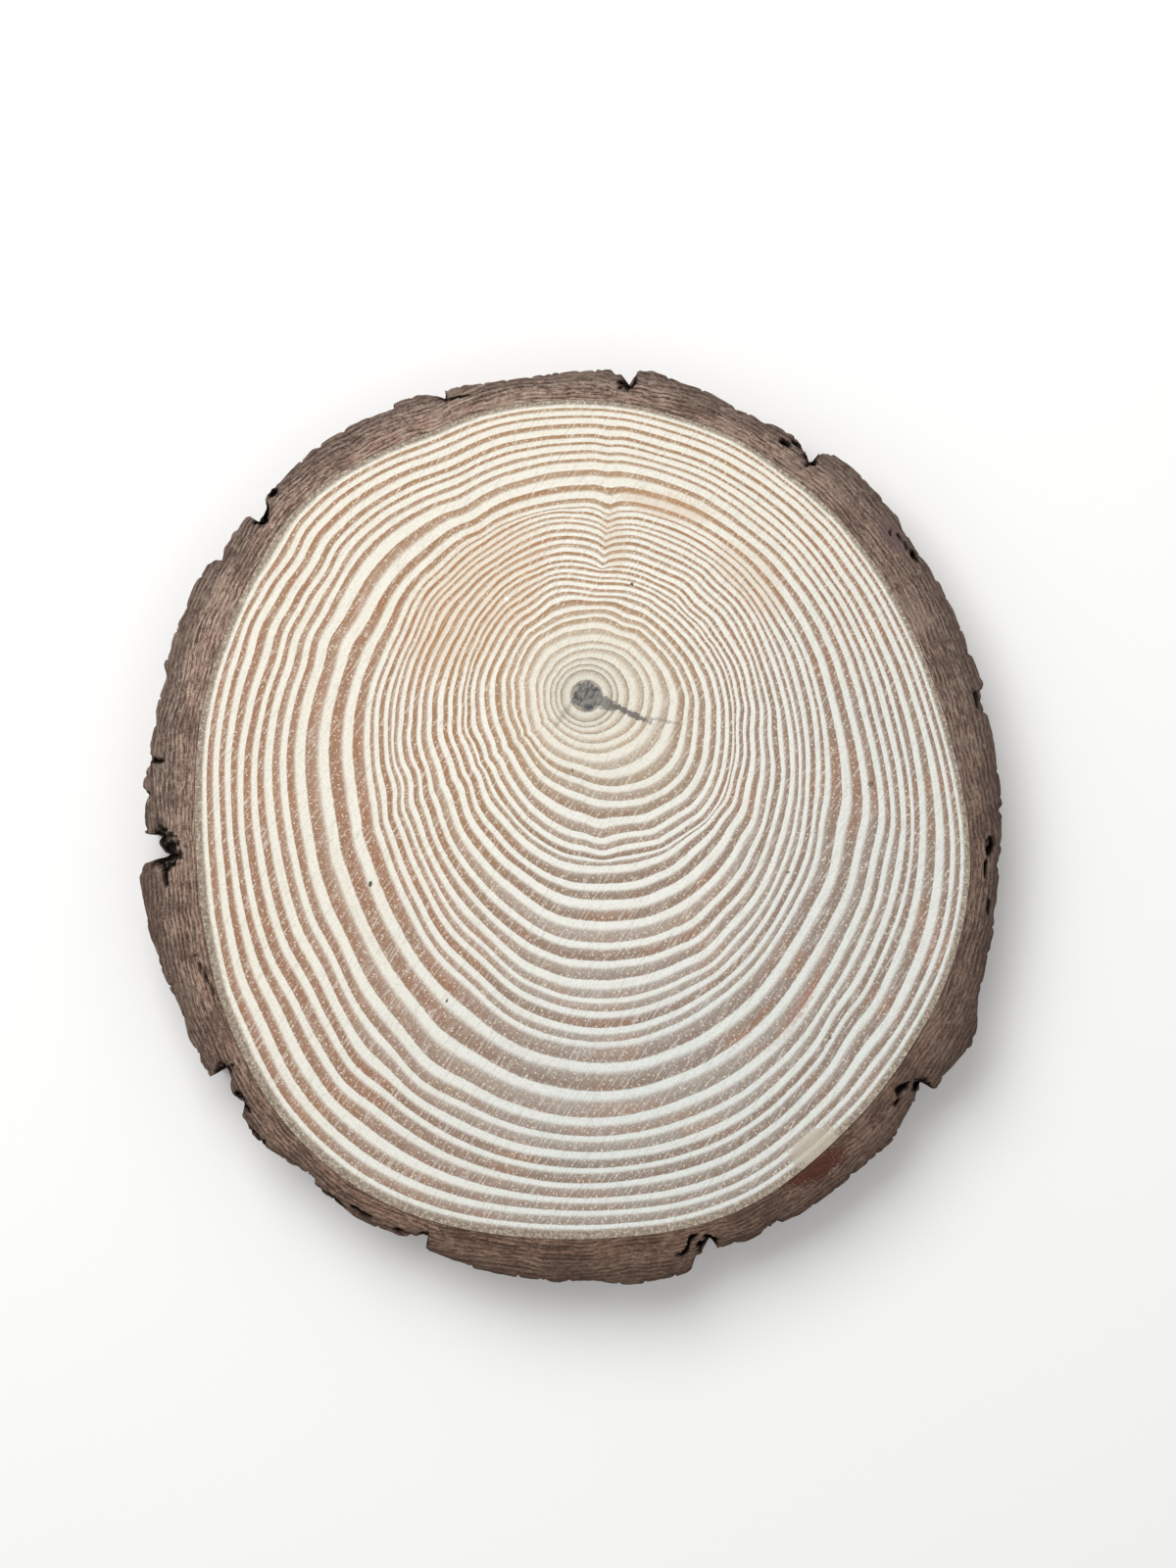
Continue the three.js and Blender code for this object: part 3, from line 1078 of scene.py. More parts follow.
@dataclass(frozen=True)
class SawnPine:
    """Sawn and lightly sanded pine: rings, resin canals, saw marks and the stains of this slice.

    Attributes:
        heart_years: the years over which the whiter wood round the pith ends, and how white it is.
        red_patches: from which height of a soft pattern latewood turns redder, and how much.
        streaks_per_year: how many streaks lie beside each other in one year, and streak_contrast how strong.
        waver: how much the rings waver on a broad and on a fine scale, in years.
        young_years: the years over which the thin lines round the pith end.
        tint, young_rings, wear, canal: the washes over the rings, for the lines round the pith, for sanding
            and for resin canals.
        scuff: from which height of the saw marks latewood is scuffed pale, and how much.
        saw_angle: direction of the saw marks, in degrees, and saw_stretch how they are drawn out.
        canals_per_mm: how close the resin canals are, canal_size how wide and canal_ragged how uneven.
        bast_years: the years over which wood turns to bast, and pith_years those over which the pith ends.
        exceptional_years: years whose latewood starts later, by a share of the year, or sooner.
        chance: how much the start of latewood varies by luck, as a share of the year.
        deepening: the shares of the year between which latewood still deepens, and how much.
        lucky: how dark the palest year's latewood is, and how much darker the darkest year's.
        lingers: the share of the next year over which the latewood's edge is lost.
        bast_mottle, pith_mottle: from and up to which height of their pattern bast and pith change colour.
        bast_ragged, pith_ragged: how uneven their edges are, in years, and bast_cover how much bast covers.
        roughness: how matt earlywood is, and how latewood differs.
        relief: how much each pattern stands out, and relief_height the whole, in metres.
    """

    pale_warm: str = "F0EBDC"
    # The cool colours are compression wood's, made darker as painted shade for the lower right of the slice.
    pale_cool_shaded: str = "E2E5E0"
    pale_heart: str = "FBF8EE"
    late_gold: str = "A88056"
    late_brown: str = "9C6E50"
    late_cool_shaded: str = "8A776A"
    late_red: str = "A9683C"
    bast: str = "AA9C8A"
    bast_strand: str = "7C6E60"
    pith_dark: str = "4A4A4D"
    pith_pale: str = "8F8B84"
    heart_years: tuple[float, float, float] = (14.0, 28.0, 0.4)
    red_patches: tuple[float, float, float] = (0.48, 0.66, 0.30)
    streaks_per_year: float = 3.1
    streak_contrast: float = 0.28
    waver: tuple[float, float] = (0.10, 0.05)
    young_years: tuple[float, float] = (3.2, 6.0)
    tint: tuple[Wash, ...] = (
        Wash(Pattern.STREAKS, "C9B79C", 0.50, 0.72, 0.16),
        Wash(Pattern.AGE, "D8C6A2", 12.0, 3.5, 0.30),
    )
    young_rings: tuple[Wash, ...] = (
        Wash(Pattern.SEASON, late_gold, 0.55, 0.95, 0.30),
        Wash(Pattern.SEASON, "79776A", 0.84, 0.95, 0.80),
    )
    scuff: tuple[float, float, float] = (0.53, 0.64, 0.42)
    wear: tuple[Wash, ...] = (
        Wash(Pattern.MARKS, "8A7C6E", 0.47, 0.34, 0.22),
        Wash(Pattern.FIBRE, "A1937F", 0.50, 0.68, 0.26),
        Wash(Pattern.FIBRE, "FAF7EF", 0.47, 0.34, 0.34),
    )
    canal: tuple[Wash, ...] = (Wash(Pattern.DARK, "E8DCC8", 0.45, 0.8, 0.62),)
    saw_angle: float = 56.0
    saw_stretch: tuple[float, float, float] = (0.14, 1.9, 0.0)
    canals_per_mm: float = 0.50
    canal_size: tuple[float, float] = (0.08, 0.17)
    canal_ragged: float = 0.22
    bast_thread: tuple[Wash, ...] = (Wash(Pattern.GRAIN, "DDD5C6", 0.54, 0.68, 0.7),)
    bast_years: tuple[float, float] = (34.22, 34.56)
    pith_years: tuple[float, float] = (0.76, 0.98)
    face_height: float = 22.0
    chance: float = 0.05
    deepening: tuple[float, float, float] = (0.55, 0.9, 0.14)
    lucky: tuple[float, float] = (0.88, 0.24)
    lingers: float = 0.07
    bast_mottle: tuple[float, float] = (0.40, 0.62)
    bast_ragged: float = 0.50
    bast_cover: float = 0.9
    pith_mottle: tuple[float, float] = (0.36, 0.62)
    pith_ragged: float = 1.1
    roughness: tuple[float, float] = (0.80, -0.10)
    relief: tuple[tuple[Pattern, float], ...] = (
        (Pattern.DARK, 0.35), (Pattern.MARKS, 0.45), (Pattern.FIBRE, 0.35),
    )
    canal_pit: float = 0.2
    relief_height: float = 0.00012
    exceptional_years: tuple[tuple[int, float], ...] = (
        (9, -0.06), (10, -0.08), (13, 0.06), (19, -0.05), (21, 0.10), (24, 0.12), (25, -0.10), (28, 0.08),
        (30, 0.10), (31, -0.05), (33, 0.08),
    )
    stains: tuple[Stain, ...] = (
        Stain(56.9, -47.5, 9.0, 2.0, 62, "A9613E", 0.20, 1.6),
        Stain(62.0, -40.0, 10.0, 1.0, 66, "A9613E", 0.30, 1.6),
        Stain(47.0, -50.0, 8.0, 1.0, 50, "B0704E", 0.26, 1.6),
        Stain(62.0, -81.6, 7.6, 4.6, 32, "BFB5A2", 0.74, 0.8),
        Stain(24.0, 82.0, 13.0, 3.6, -14, "C9A27A", 0.28, 0.9),
        Stain(11.0, 73.0, 3.4, 9.0, 8, "C4A078", 0.22, 0.9),
        Stain(46.0, 63.0, 12.0, 6.0, -48, "C79C6E", 0.16, 0.9),
        Stain(-24.0, 58.0, 26.0, 14.0, 48, "CC9A62", 0.20, 0.9),
        Stain(8.6, 31.6, 4.4, 1.7, -24, "5E5C5C", 0.80, 1.2),
        Stain(15.0, 29.0, 6.4, 0.9, -24, "5E5A57", 0.85, 1.4),
        Stain(23.0, 27.2, 4.6, 0.5, -12, "8A847C", 0.50, 1.8),
        Stain(-1.8, 28.6, 4.6, 0.7, 54, "7E7A74", 0.40, 1.8),
        Stain(3.9, 33.1, 9.5, 9.0, 0, "9C9A8C", 0.16, 0.5),
        Stain(-51.1, -14.6, 0.9, 0.5, 80, "2E241E", 0.9, 0.2),
        Stain(-31.6, -44.4, 0.6, 0.3, 60, "4A3A30", 0.9, 0.2),
        Stain(15.6, 61.9, 0.45, 0.45, 0, "3A2E28", 0.9, 0.2),
        Stain(0.4, 14.4, 0.5, 0.25, 90, "54463C", 0.8, 0.2),
        Stain(76.6, 10.9, 0.9, 0.7, 0, "5A4C46", 0.7, 0.3),
        Stain(55.4, -11.6, 0.6, 0.4, 0, "54463C", 0.7, 0.2),
        Stain(66.1, -53.9, 0.6, 0.4, 40, "54463C", 0.7, 0.2),
        Stain(-16.4, 58.1, 0.6, 0.6, 0, "FDFDFB", 0.9, 0.2),
    )

    def material(self) -> bpy.types.Material:
        """Builds the finish."""
        bench = Bench("sawn_pine")
        place = bench.place()
        mottle = bench.noise(place, 1.3, detail=4.0, roughness=0.7)
        broad, narrow = self.waver
        waver = (bench.noise(place, 0.5, detail=4.0, roughness=0.7) - 0.5) * broad
        waver = waver + (bench.noise(place, 2.4) - 0.5) * narrow
        age = bench.noted("age") + waver
        patterns = {Pattern.AGE: age, Pattern.SEASON: age.fraction()}
        patterns[Pattern.STREAKS] = bench.along(place, age * self.streaks_per_year, 0.05)
        streaky = 1 - self.streak_contrast / 2 + self.streak_contrast * patterns[Pattern.STREAKS]
        dark = self._latewood(bench, age.floor(), patterns[Pattern.SEASON]) * streaky
        pale = self._pale(bench, age)
        colour = bench.mix(dark, pale, self._late(bench, place))
        colour = coat(bench, colour, self.tint, patterns)
        colour = coat(bench, colour, self.young_rings, patterns, 1 - bench.ease(age, *self.young_years))

        saw = bench.turned(place, -self.saw_angle, self.saw_stretch)
        marks = bench.noise(saw, 1.0, detail=3.0, roughness=0.62)
        fibre = bench.noise(place, 2.2, roughness=0.8)
        patterns |= {Pattern.DARK: dark, Pattern.MARKS: marks, Pattern.FIBRE: fibre}
        scuffed_from, scuffed_to, scuffed = self.scuff
        colour = bench.mix(bench.ease(marks, scuffed_from, scuffed_to) * dark * scuffed, colour, pale)
        colour = coat(bench, colour, self.wear, patterns)
        ragged = (fibre - 0.5) * self.canal_ragged
        canals = 1 - bench.ease(bench.cells(place, self.canals_per_mm) + ragged, *self.canal_size)
        colour = coat(bench, colour, self.canal, patterns, canals)
        colour = self._edge(bench, place, age, colour)
        for stain in self.stains:
            colour = stain.soak(bench, place, mottle, colour, self.face_height)
        colour = self._heart(bench, place, age, colour)
        relief = sum(patterns[pattern] * height for pattern, height in self.relief)
        relief = relief - canals * dark * self.canal_pit
        matt, change = self.roughness
        return bench.dress(colour, matt + dark * change, relief, self.relief_height, specular=0.3)

    def _pale(self, bench: Bench, age: Wire) -> Wire:
        """The colour of earlywood, which is cooler in compression wood, darker towards the lower right as
        painted shade, and whiter near the pith.

        Args:
            bench: where the material is put together.
            age: years from the pith.

        Returns:
            The colour.
        """
        start, end, strength = self.heart_years
        pale = bench.mix(bench.noted("cool_and_shaded"), paint(self.pale_warm), paint(self.pale_cool_shaded))
        return bench.mix((1 - bench.ease(age, start, end)) * strength, pale, paint(self.pale_heart))

    def _late(self, bench: Bench, place: Wire) -> Wire:
        """The colour of latewood, with redder patches, cooler in compression wood and darker towards the
        lower right as painted shade.

        Args:
            bench: where the material is put together.
            place: the place on the piece, in millimetres.

        Returns:
            The colour.
        """
        start, end, strength = self.red_patches
        late = bench.mix(bench.noted("golden"), paint(self.late_brown), paint(self.late_gold))
        late = bench.mix(bench.noted("cool_and_shaded"), late, paint(self.late_cool_shaded))
        patches = bench.ease(bench.noise(place, 0.05), start, end)
        return bench.mix(patches * strength, late, paint(self.late_red))

    def _latewood(self, bench: Bench, year: Wire, season: Wire) -> Wire:
        """How far the wood has turned dark at each point of the year.

        Args:
            bench: where the material is put together.
            year: how many whole years lie below.
            season: share of the year.

        Returns:
            0 for earlywood, up to about 1 for latewood.
        """
        start = bench.noted("latewood_from")
        for number, later in self.exceptional_years:
            start = start + bench.same(year, number - 1) * later
        settings = {"noise_dimensions": "1D"}
        luck = bench.node("ShaderNodeTexWhiteNoise", settings, {"W": year + 0.5}, "Value")
        start = start + (luck - 0.5) * self.chance
        fade = bench.noted("fade")
        dark = bench.ease(season, start - fade, start + fade)
        deepens_from, deepens_to, deeper = self.deepening
        dark = dark * (1 - deeper + deeper * bench.ease(season, deepens_from, deepens_to))
        palest, spread = self.lucky
        second_draw = (luck * 7.0).fraction()
        dark = dark * (palest + spread * second_draw)
        dark = dark.top(1 - bench.ease(season, 0.0, self.lingers))
        return dark * bench.noted("richness")

    def _edge(self, bench: Bench, place: Wire, age: Wire, colour: Wire) -> Wire:
        """The rough greyish bast where the last year's wood meets the bark.

        Args:
            bench: where the material is put together.
            place: the place on the piece, in millimetres.
            age: years from the pith.
            colour: the wood's colour.

        Returns:
            The colour with the bast over it.
        """
        rough = bench.noise(place, 1.1, detail=4.0, roughness=0.7)
        edge = bench.ease(age + (rough - 0.5) * self.bast_ragged, *self.bast_years)
        mottle = bench.ease(rough, *self.bast_mottle)
        strands = bench.mix(mottle, paint(self.bast_strand), paint(self.bast))
        threads = {Pattern.GRAIN: bench.noise(place, 1.7, detail=3.0)}
        return bench.mix(edge * self.bast_cover, colour, coat(bench, strands, self.bast_thread, threads))

    def _heart(self, bench: Bench, place: Wire, age: Wire, colour: Wire) -> Wire:
        """The grey pith, mottled, with a ragged edge.

        Args:
            bench: where the material is put together.
            place: the place on the piece, in millimetres.
            age: years from the pith.
            colour: the wood's colour.

        Returns:
            The colour with the pith over it.
        """
        along_saw = bench.turned(place, -self.saw_angle, (0.7, 1.6, 1.0))
        mottle = bench.noise(along_saw, 0.9, detail=4.0, roughness=0.7)
        ragged = bench.noise(place, 0.45, detail=4.0, roughness=0.6)
        heart = 1 - bench.ease(age + (ragged - 0.5) * self.pith_ragged, *self.pith_years)
        mottled = bench.ease(mottle, *self.pith_mottle)
        grey = bench.mix(mottled, paint(self.pith_dark), paint(self.pith_pale))
        return bench.mix(heart, colour, grey)


@dataclass(frozen=True)
class SawnBark:
    """The bark's layers where the saw went through them.

    Attributes:
        inner: colour of the layers next to the wood, and outer of those next to the outside.
        deep: colour between the layers.
        thread: colour of the pale fibres.
        painted_shade: the colour of the painted shade on the side away from the light, and
            painted_shade_strength how far the bark turns to it.
        ruddy: tint of the redder side.
        char: colour of the painted shade down in the cracks.
        depths: between which depths the inner colour turns into the outer.
        waver: how far the layers waver, in millimetres.
        layered: how quickly a pattern changes across the layers and along them, per millimetre.
        lines_per_mm: how many steps between two layers there are in a millimetre.
        ragged: how ragged such a step is, in layers.
        rind_ragged: how ragged the darker band next to the outside is, as a share of the bark's thickness.
        roughness: how matt it is, and how much more so on its grains.
        washes: the coats over the inner and outer colours.
        relief: how much each pattern stands out, and relief_height the whole, in metres.
        face_height: height of the upper sawn face, in millimetres.
    """

    inner: str = "AE8C7B"
    outer: str = "9C8679"
    deep: str = "47362F"
    thread: str = "C2AD9B"
    painted_shade: str = "3B2F2B"
    painted_shade_strength: float = 0.58
    ruddy: str = "FBEFE4"
    char: str = "1E1815"
    depths: tuple[float, float] = (0.25, 0.75)
    waver: float = 3.4
    layered: tuple[tuple[Pattern, float, float], ...] = (
        (Pattern.SHEETS, 1.5, 0.06), (Pattern.FINE, 3.4, 0.22), (Pattern.ROWS, 2.0, 0.45),
    )
    lines_per_mm: float = 0.95
    ragged: float = 1.5
    rind_ragged: float = 0.8
    roughness: tuple[float, float] = (0.86, 0.1)
    washes: tuple[Wash, ...] = (
        Wash(Pattern.SHEETS, deep, 0.52, 0.40, 0.75),
        Wash(Pattern.SHEETS, thread, 0.55, 0.68, 0.50),
        Wash(Pattern.FINE, deep, 0.49, 0.39, 0.70),
        Wash(Pattern.LINES, deep, 0.36, 0.08, 0.62),
        Wash(Pattern.LINES, thread, 0.50, 0.75, 0.46, fades=0.85, gone=1.0),
        Wash(Pattern.ROWS, deep, 0.48, 0.38, 0.66),
        Wash(Pattern.GRAIN, deep, 0.47, 0.37, 0.50),
        Wash(Pattern.GRAIN, thread, 0.53, 0.66, 0.45),
        Wash(Pattern.ROWS, "CDBBA8", 0.55, 0.66, 0.60),
        Wash(Pattern.WEATHER, deep, 0.52, 0.36, 0.45),
        Wash(Pattern.WEATHER, thread, 0.55, 0.70, 0.30),
        Wash(Pattern.RIND, deep, 0.50, 0.95, 0.52),
    )
    relief: tuple[tuple[Pattern, float], ...] = (
        (Pattern.GRAIN, 0.6), (Pattern.ROWS, 0.5), (Pattern.SHEETS, 0.7), (Pattern.FINE, 0.3),
    )
    relief_height: float = 0.0004
    face_height: float = 22.0
    stains: tuple[Stain, ...] = (
        Stain(62.6, -86.8, 8.4, 3.2, 30, "4C241B", 0.80, 1.2),
        Stain(-107.0, -20.0, 3.0, 16.0, 4, "4E3A32", 0.35, 0.8),
        Stain(82.0, 74.6, 6.0, 2.6, -58, "6A5654", 0.70, 0.5),
    )

    def material(self) -> bpy.types.Material:
        """Builds the finish."""
        bench = Bench("sawn_bark")
        place = bench.place()
        depth = bench.noted("depth")
        patterns = self._patterns(bench, place, depth)
        grain = patterns[Pattern.GRAIN]
        base = bench.mix(bench.ease(depth, *self.depths), paint(self.inner), paint(self.outer))
        base = coat(bench, base, self.washes, patterns)
        # Painted shade: the bark is darkened away from the lit side at the upper left.
        base = bench.mix((1 - bench.noted("lit_share")) * self.painted_shade_strength, base, paint(self.painted_shade))
        base = bench.mix(bench.noted("ruddy"), base, paint(self.ruddy), "MULTIPLY")
        for stain in self.stains:
            base = stain.soak(bench, place, grain, base, self.face_height)
        # Painted shade in the cracks of the sawn face, darker the deeper they are.
        base = bench.mix(bench.noted("char"), base, paint(self.char))
        relief = sum(patterns[pattern] * height for pattern, height in self.relief)
        matt, change = self.roughness
        return bench.dress(base, matt + grain * change, relief, self.relief_height, specular=0.25)

    def _patterns(self, bench: Bench, place: Wire, depth: Wire) -> dict[Pattern, Wire]:
        """The patterns that its washes follow: layers that run round the trunk, grains and patches.

        Args:
            bench: where the material is put together.
            place: the place on the piece, in millimetres.
            depth: 0 at the wood and 1 at the rim.

        Returns:
            Each pattern's value.
        """
        layer = bench.noted("layer") + (bench.noise(place, 0.05, detail=3.0) - 0.5) * self.waver
        weather = bench.noise(place, 0.11, detail=3.0, roughness=0.6)
        lines = layer * self.lines_per_mm + (bench.noise(place, 0.16) - 0.5) * self.ragged
        patterns = {
            pattern: bench.along(place, layer * across, along) for pattern, across, along in self.layered
        }
        return patterns | {
            Pattern.LINES: lines.fraction(),
            Pattern.GRAIN: bench.noise(place, 1.9, detail=3.0, roughness=0.75),
            Pattern.WEATHER: weather,
            Pattern.RIND: depth + (weather - 0.5) * self.rind_ragged,
        }


@dataclass(frozen=True)
class WeatheredBark:
    """The bark's outside: grey-brown scales with redder places where scales came off, and painted shade in
    the gaps between them.

    Attributes:
        scale: colour of a sound scale.
        gap: colour of the grain's dark specks and of the painted shade in the gaps between scales, and
            gap_shade_strength how dark that shade is in the deepest.
        tall: how far its patterns are drawn out upwards, below 1 for longer.
        washes: the coats over the scales.
        relief_height: height of its relief, in metres.
        roughness: how matt it is, and how much more so on its grains.
    """

    scale: str = "6E5C51"
    # Dark specks of grain, and the painted shade in the gaps between scales.
    gap: str = "2A201B"
    gap_shade_strength: float = 0.9
    tall: float = 0.45
    washes: tuple[Wash, ...] = (
        Wash(Pattern.FLAKE, "805C49", 0.45, 0.95, 1.0),
        Wash(Pattern.DUST, "93877B", 0.5, 0.7, 0.6),
        Wash(Pattern.GRAIN, gap, 0.52, 0.36, 0.7),
        Wash(Pattern.GRAIN, "A19284", 0.56, 0.74, 0.5),
    )
    relief_height: float = 0.0009
    roughness: tuple[float, float] = (0.88, 0.1)

    def material(self) -> bpy.types.Material:
        """Builds the finish."""
        bench = Bench("weathered_bark")
        drawn = bench.turned(bench.place(), 0, (1.0, 1.0, self.tall))
        grain = bench.noise(drawn, 0.9, detail=5.0, roughness=0.7)
        patterns = {
            Pattern.FLAKE: bench.noted("flake"),
            Pattern.DUST: bench.noise(drawn, 0.12, detail=3.0),
            Pattern.GRAIN: grain,
        }
        base = coat(bench, paint(self.scale), self.washes, patterns)
        # Painted shade in the gaps between scales.
        base = bench.mix(bench.noted("char") * self.gap_shade_strength, base, paint(self.gap))
        matt, change = self.roughness
        return bench.dress(base, matt + grain * change, grain, self.relief_height, specular=0.22)


@dataclass(frozen=True)
class Trait:
    """How a trait of the wood starts out near the pith, before the flanks differ.

    Attributes:
        name: the flanks' value that it is.
        first: its value in the first rings.
        young: its value in the rings after them.
        kept: how much of the flank's own value shows there, up to 1.
    """

    name: str
    first: float
    young: float
    kept: float = 0.0


@dataclass
class SawnWood:
    """The wood of the slice, from the pith to the edge of the last ring, with both sawn faces.

    Attributes:
        slice: where the slice lies and what it was sawn from.
        steps: facets round the trunk.
        upper_steps: rings of facets for each year on the upper face.
        lower_steps: rings of facets for each year on the lower face.
        traits: how the wood near the pith differs from the flanks.
        young_until: the last year that has no more than the young values.
        settling: how many years the flanks take to show after that.
        sprouting: how many years before that the first rings' values show.
        sharp_from: the least angle of an edge that stays sharp, in degrees.
        upper_map: middle and half size of the upper face on the flat map.
        lower_map: middle and half size of the lower face on the flat map.
        map_reach: how far from the middle of the slice the maps reach, in millimetres.
    """

    slice: Slice
    steps: int = 720
    upper_steps: int = 2
    lower_steps: int = 1
    traits: tuple[Trait, ...] = (
        Trait("latewood_from", 0.56, 0.53),
        Trait("fade", 0.26, 0.12),
        Trait("cool_and_shaded", 0.7, 0.2, kept=0.6),
        Trait("golden", 1.0, 1.0),
        Trait("richness", 0.62, 1.0, kept=0.6),
    )
    young_until: float = 8.0
    settling: float = 18.0
    sprouting: float = 4.0
    sharp_from: float = 40.0
    upper_map: tuple[float, float] = (0.385, 0.36)
    lower_map: tuple[float, float] = (0.805, 0.18)
    map_reach: float = 118.0
    name: str = "sawn_wood"

    def build(self) -> bpy.types.Object:
        """Makes the piece, shapes it to the rings and finishes it."""
        piece = lathe(self.name, self._profile(), self.steps, closed=False)
        sheet = Sheet(piece.data)
        years, degrees, height = sheet.round_axis()
        x, y = self.slice.from_pith(degrees, self.slice.trunk.reach(years, degrees, 1 - height))
        self._lay_out(sheet, x, y, degrees, height)
        sheet.move(self.slice.place(x, y, height * self.slice.thickness))
        self._note_traits(sheet, years, degrees)
        finish(piece, self.sharp_from, SawnPine().material())
        return piece

    def _note_traits(self, sheet: Sheet, years: np.ndarray, degrees: np.ndarray) -> None:
        """Keeps each vertex's age and how the wood looks there.

        Args:
            sheet: the piece's mesh.
            years: the tree's age at each vertex.
            degrees: direction of each place.
        """
        sheet.note("age", years)
        grown = np.clip((years - self.young_until) / self.settling, 0, 1)
        first = np.clip((self.young_until - years) / self.sprouting, 0, 1)
        for trait in self.traits:
            flank = self.slice.trunk.flank(degrees, trait.name)
            value = trait.young + (flank - trait.young) * grown
            value = value * (1 - trait.kept) + flank * trait.kept
            sheet.note(trait.name, value + (trait.first - value) * first)

    def _profile(self) -> list[tuple[float, float]]:
        """From the pith out over the upper face, down the side and back over the lower face."""
        age = self.slice.trunk.age
        upper = [(step / self.upper_steps, 1.0) for step in range(age * self.upper_steps + 1)]
        lower = [(step / self.lower_steps, 0.0) for step in range(age * self.lower_steps, -1, -1)]
        return upper + [(float(age), 0.5)] + lower

    def _lay_out(
        self, sheet: Sheet, x: np.ndarray, y: np.ndarray, degrees: np.ndarray, height: np.ndarray
    ) -> None:
        """Lays the upper face out large, the lower face smaller beside it and the side as a strip.

        Args:
            sheet: the piece's mesh.
            x: millimetres to the right of the slice's middle.
            y: millimetres up from it.
            degrees: direction of each place.
            height: 0 at the lower saw cut and 1 at the upper.
        """
        upper, lower = (
            np.stack([middle + half * x / self.map_reach, middle + half * y / self.map_reach], 1)
            for middle, half in (self.upper_map, self.lower_map)
        )
        strip = np.stack([0.02 + 0.5 * degrees / FULL_TURN, 0.95 + 0.03 * height], 1)
        mean = sheet.of_face(height[sheet.corners])[sheet.face_of_corner()][:, None]
        flat = np.where(mean > 1 - NEAR, upper[sheet.corners], lower[sheet.corners])
        side = (mean > NEAR) & (mean < 1 - NEAR)
        sheet.lay_out(np.where(side, strip[sheet.corners], flat))


@dataclass
class Bark:
    """The bark round the wood: its sawn layers above and below, and its scaly outside.

    Attributes:
        slice: where the slice lies and what it was sawn from.
        steps: facets round the trunk.
        across_upper: facets across the upper sawn face.
        up_side: facets up the outside.
        across_lower: facets across the lower sawn face.
        crowding: how much narrower the facets of the upper face get towards the rim, from 1.
        seam: gap between the wood and the bark, in millimetres.
        open_seam: how much wider it stands open on one side, in millimetres.
        open_at: the direction of that side.
        open_spread: half the width of that side, in degrees.
        bite: how far its inside reaches into the wood, as a share of its own thickness.
        brink: width of the worn edge where the sawn face meets the outside, in millimetres.
        brink_drop: how far that edge is worn down, in millimetres.
        face_sink: how far the upper sawn face lies below the wood's, in millimetres.
        face_rough: how uneven that face is, and face_grain where.
        crumble: how the walls of cracks waver, and crumble_by by what share of their width.
        pit_wall: from how far out to how far in a crack's wall goes down, as shares of its width.
        flakes: how many scales the outside has.
        scale_wear: how far back the most worn scale lies, in millimetres.
        gap_depth: how deep the gaps between the scales are, in millimetres.
        gap_width: half the width of such a gap, in millimetres.
        full_shade_depth: how deep a crack has to be for its painted shade to be full, in millimetres.
        hollow_shade_most: how dark that painted shade gets, up to 1.
        gap_shade: how dark the painted shade in a gap between scales is.
        lit_side: the direction of the side towards the light, where the bark's painted shade is least.
        ruddy_side: the direction of the redder side, and ruddy_spread half its width in degrees.
        sharp_from: the least angle of an edge that stays sharp, in degrees.
    """

    slice: Slice
    steps: int = 1440
    across_upper: int = 24
    up_side: int = 20
    across_lower: int = 12
    crowding: float = 1.15
    seam: float = 0.12
    open_seam: float = 0.55
    open_at: float = 200.0
    open_spread: float = 5.0
    bite: float = 0.08
    brink: float = 1.4
    brink_drop: float = 0.8
    face_sink: float = 0.10
    face_rough: float = 0.12
    face_grain: Unevenness = Unevenness(seed=31, around=160, along=8)
    crumble: Unevenness = Unevenness(seed=33, around=700, along=24)
    crumble_by: float = 0.45
    pit_wall: tuple[float, float] = (1.15, 0.55)
    flakes: int = 260
    scale_wear: float = 1.2
    gap_depth: float = 1.3
    gap_width: float = 1.4
    full_shade_depth: float = 3.5
    hollow_shade_most: float = 0.85
    gap_shade: float = 0.6
    lit_side: float = 135.0
    ruddy_side: float = 275.0
    ruddy_spread: float = 120.0
    sharp_from: float = 50.0
    name: str = "bark"

    def build(self) -> bpy.types.Object:
        """Makes the piece, shapes it to the wood and the rim, and finishes it."""
        piece = lathe(self.name, self._profile(), self.steps, closed=True)
        sheet = Sheet(piece.data)
        radius, degrees, height = sheet.round_axis()
        depth, height = np.round(radius - 1, 4), np.round(height, 4)
        self._lay_out(sheet, depth, degrees, height)

        inner = self.slice.wood_edge(degrees, height) + self._gap(degrees)
        flake, groove = self._scales(degrees, height)
        outside = self._outside(height)
        worn = outside * (self.scale_wear * flake + self.gap_depth * groove)
        outer = self.slice.rim.reach(degrees, height) - worn
        reach = inner + (outer - inner) * depth
        drop = self._pits(degrees, reach)
        z = self._level(degrees, height, depth, outer - reach, drop)
        x, y = set_out(degrees + self._lean(degrees, depth), reach)
        sheet.move(self.slice.place(x, y, z))

        # Painted shade: cracks in the upper face darken with their depth, and the gaps between scales with
        # their nearness.
        gaps = groove * self.gap_shade * outside
        char = np.where(height > 1 - NEAR, drop / self.full_shade_depth, gaps)
        sheet.note("depth", depth)
        sheet.note("layer", reach - inner)
        # Painted shade: how lit each side of the bark is, from 1 at the upper left to 0 opposite.
        sheet.note("lit_share", bell(turn_between(degrees, self.lit_side) / (FULL_TURN / 2)))
        sheet.note("ruddy", bell(turn_between(degrees, self.ruddy_side) / self.ruddy_spread))
        sheet.note("flake", flake)
        sheet.note("char", np.clip(char, 0, self.hollow_shade_most))
        finish(piece, self.sharp_from, SawnBark().material(), WeatheredBark().material())
        outermost = sheet.of_face(depth[sheet.corners]) > 1 - NEAR
        piece.data.polygons.foreach_set("material_index", outermost.astype(np.int32))
        piece.data.update()
        return piece

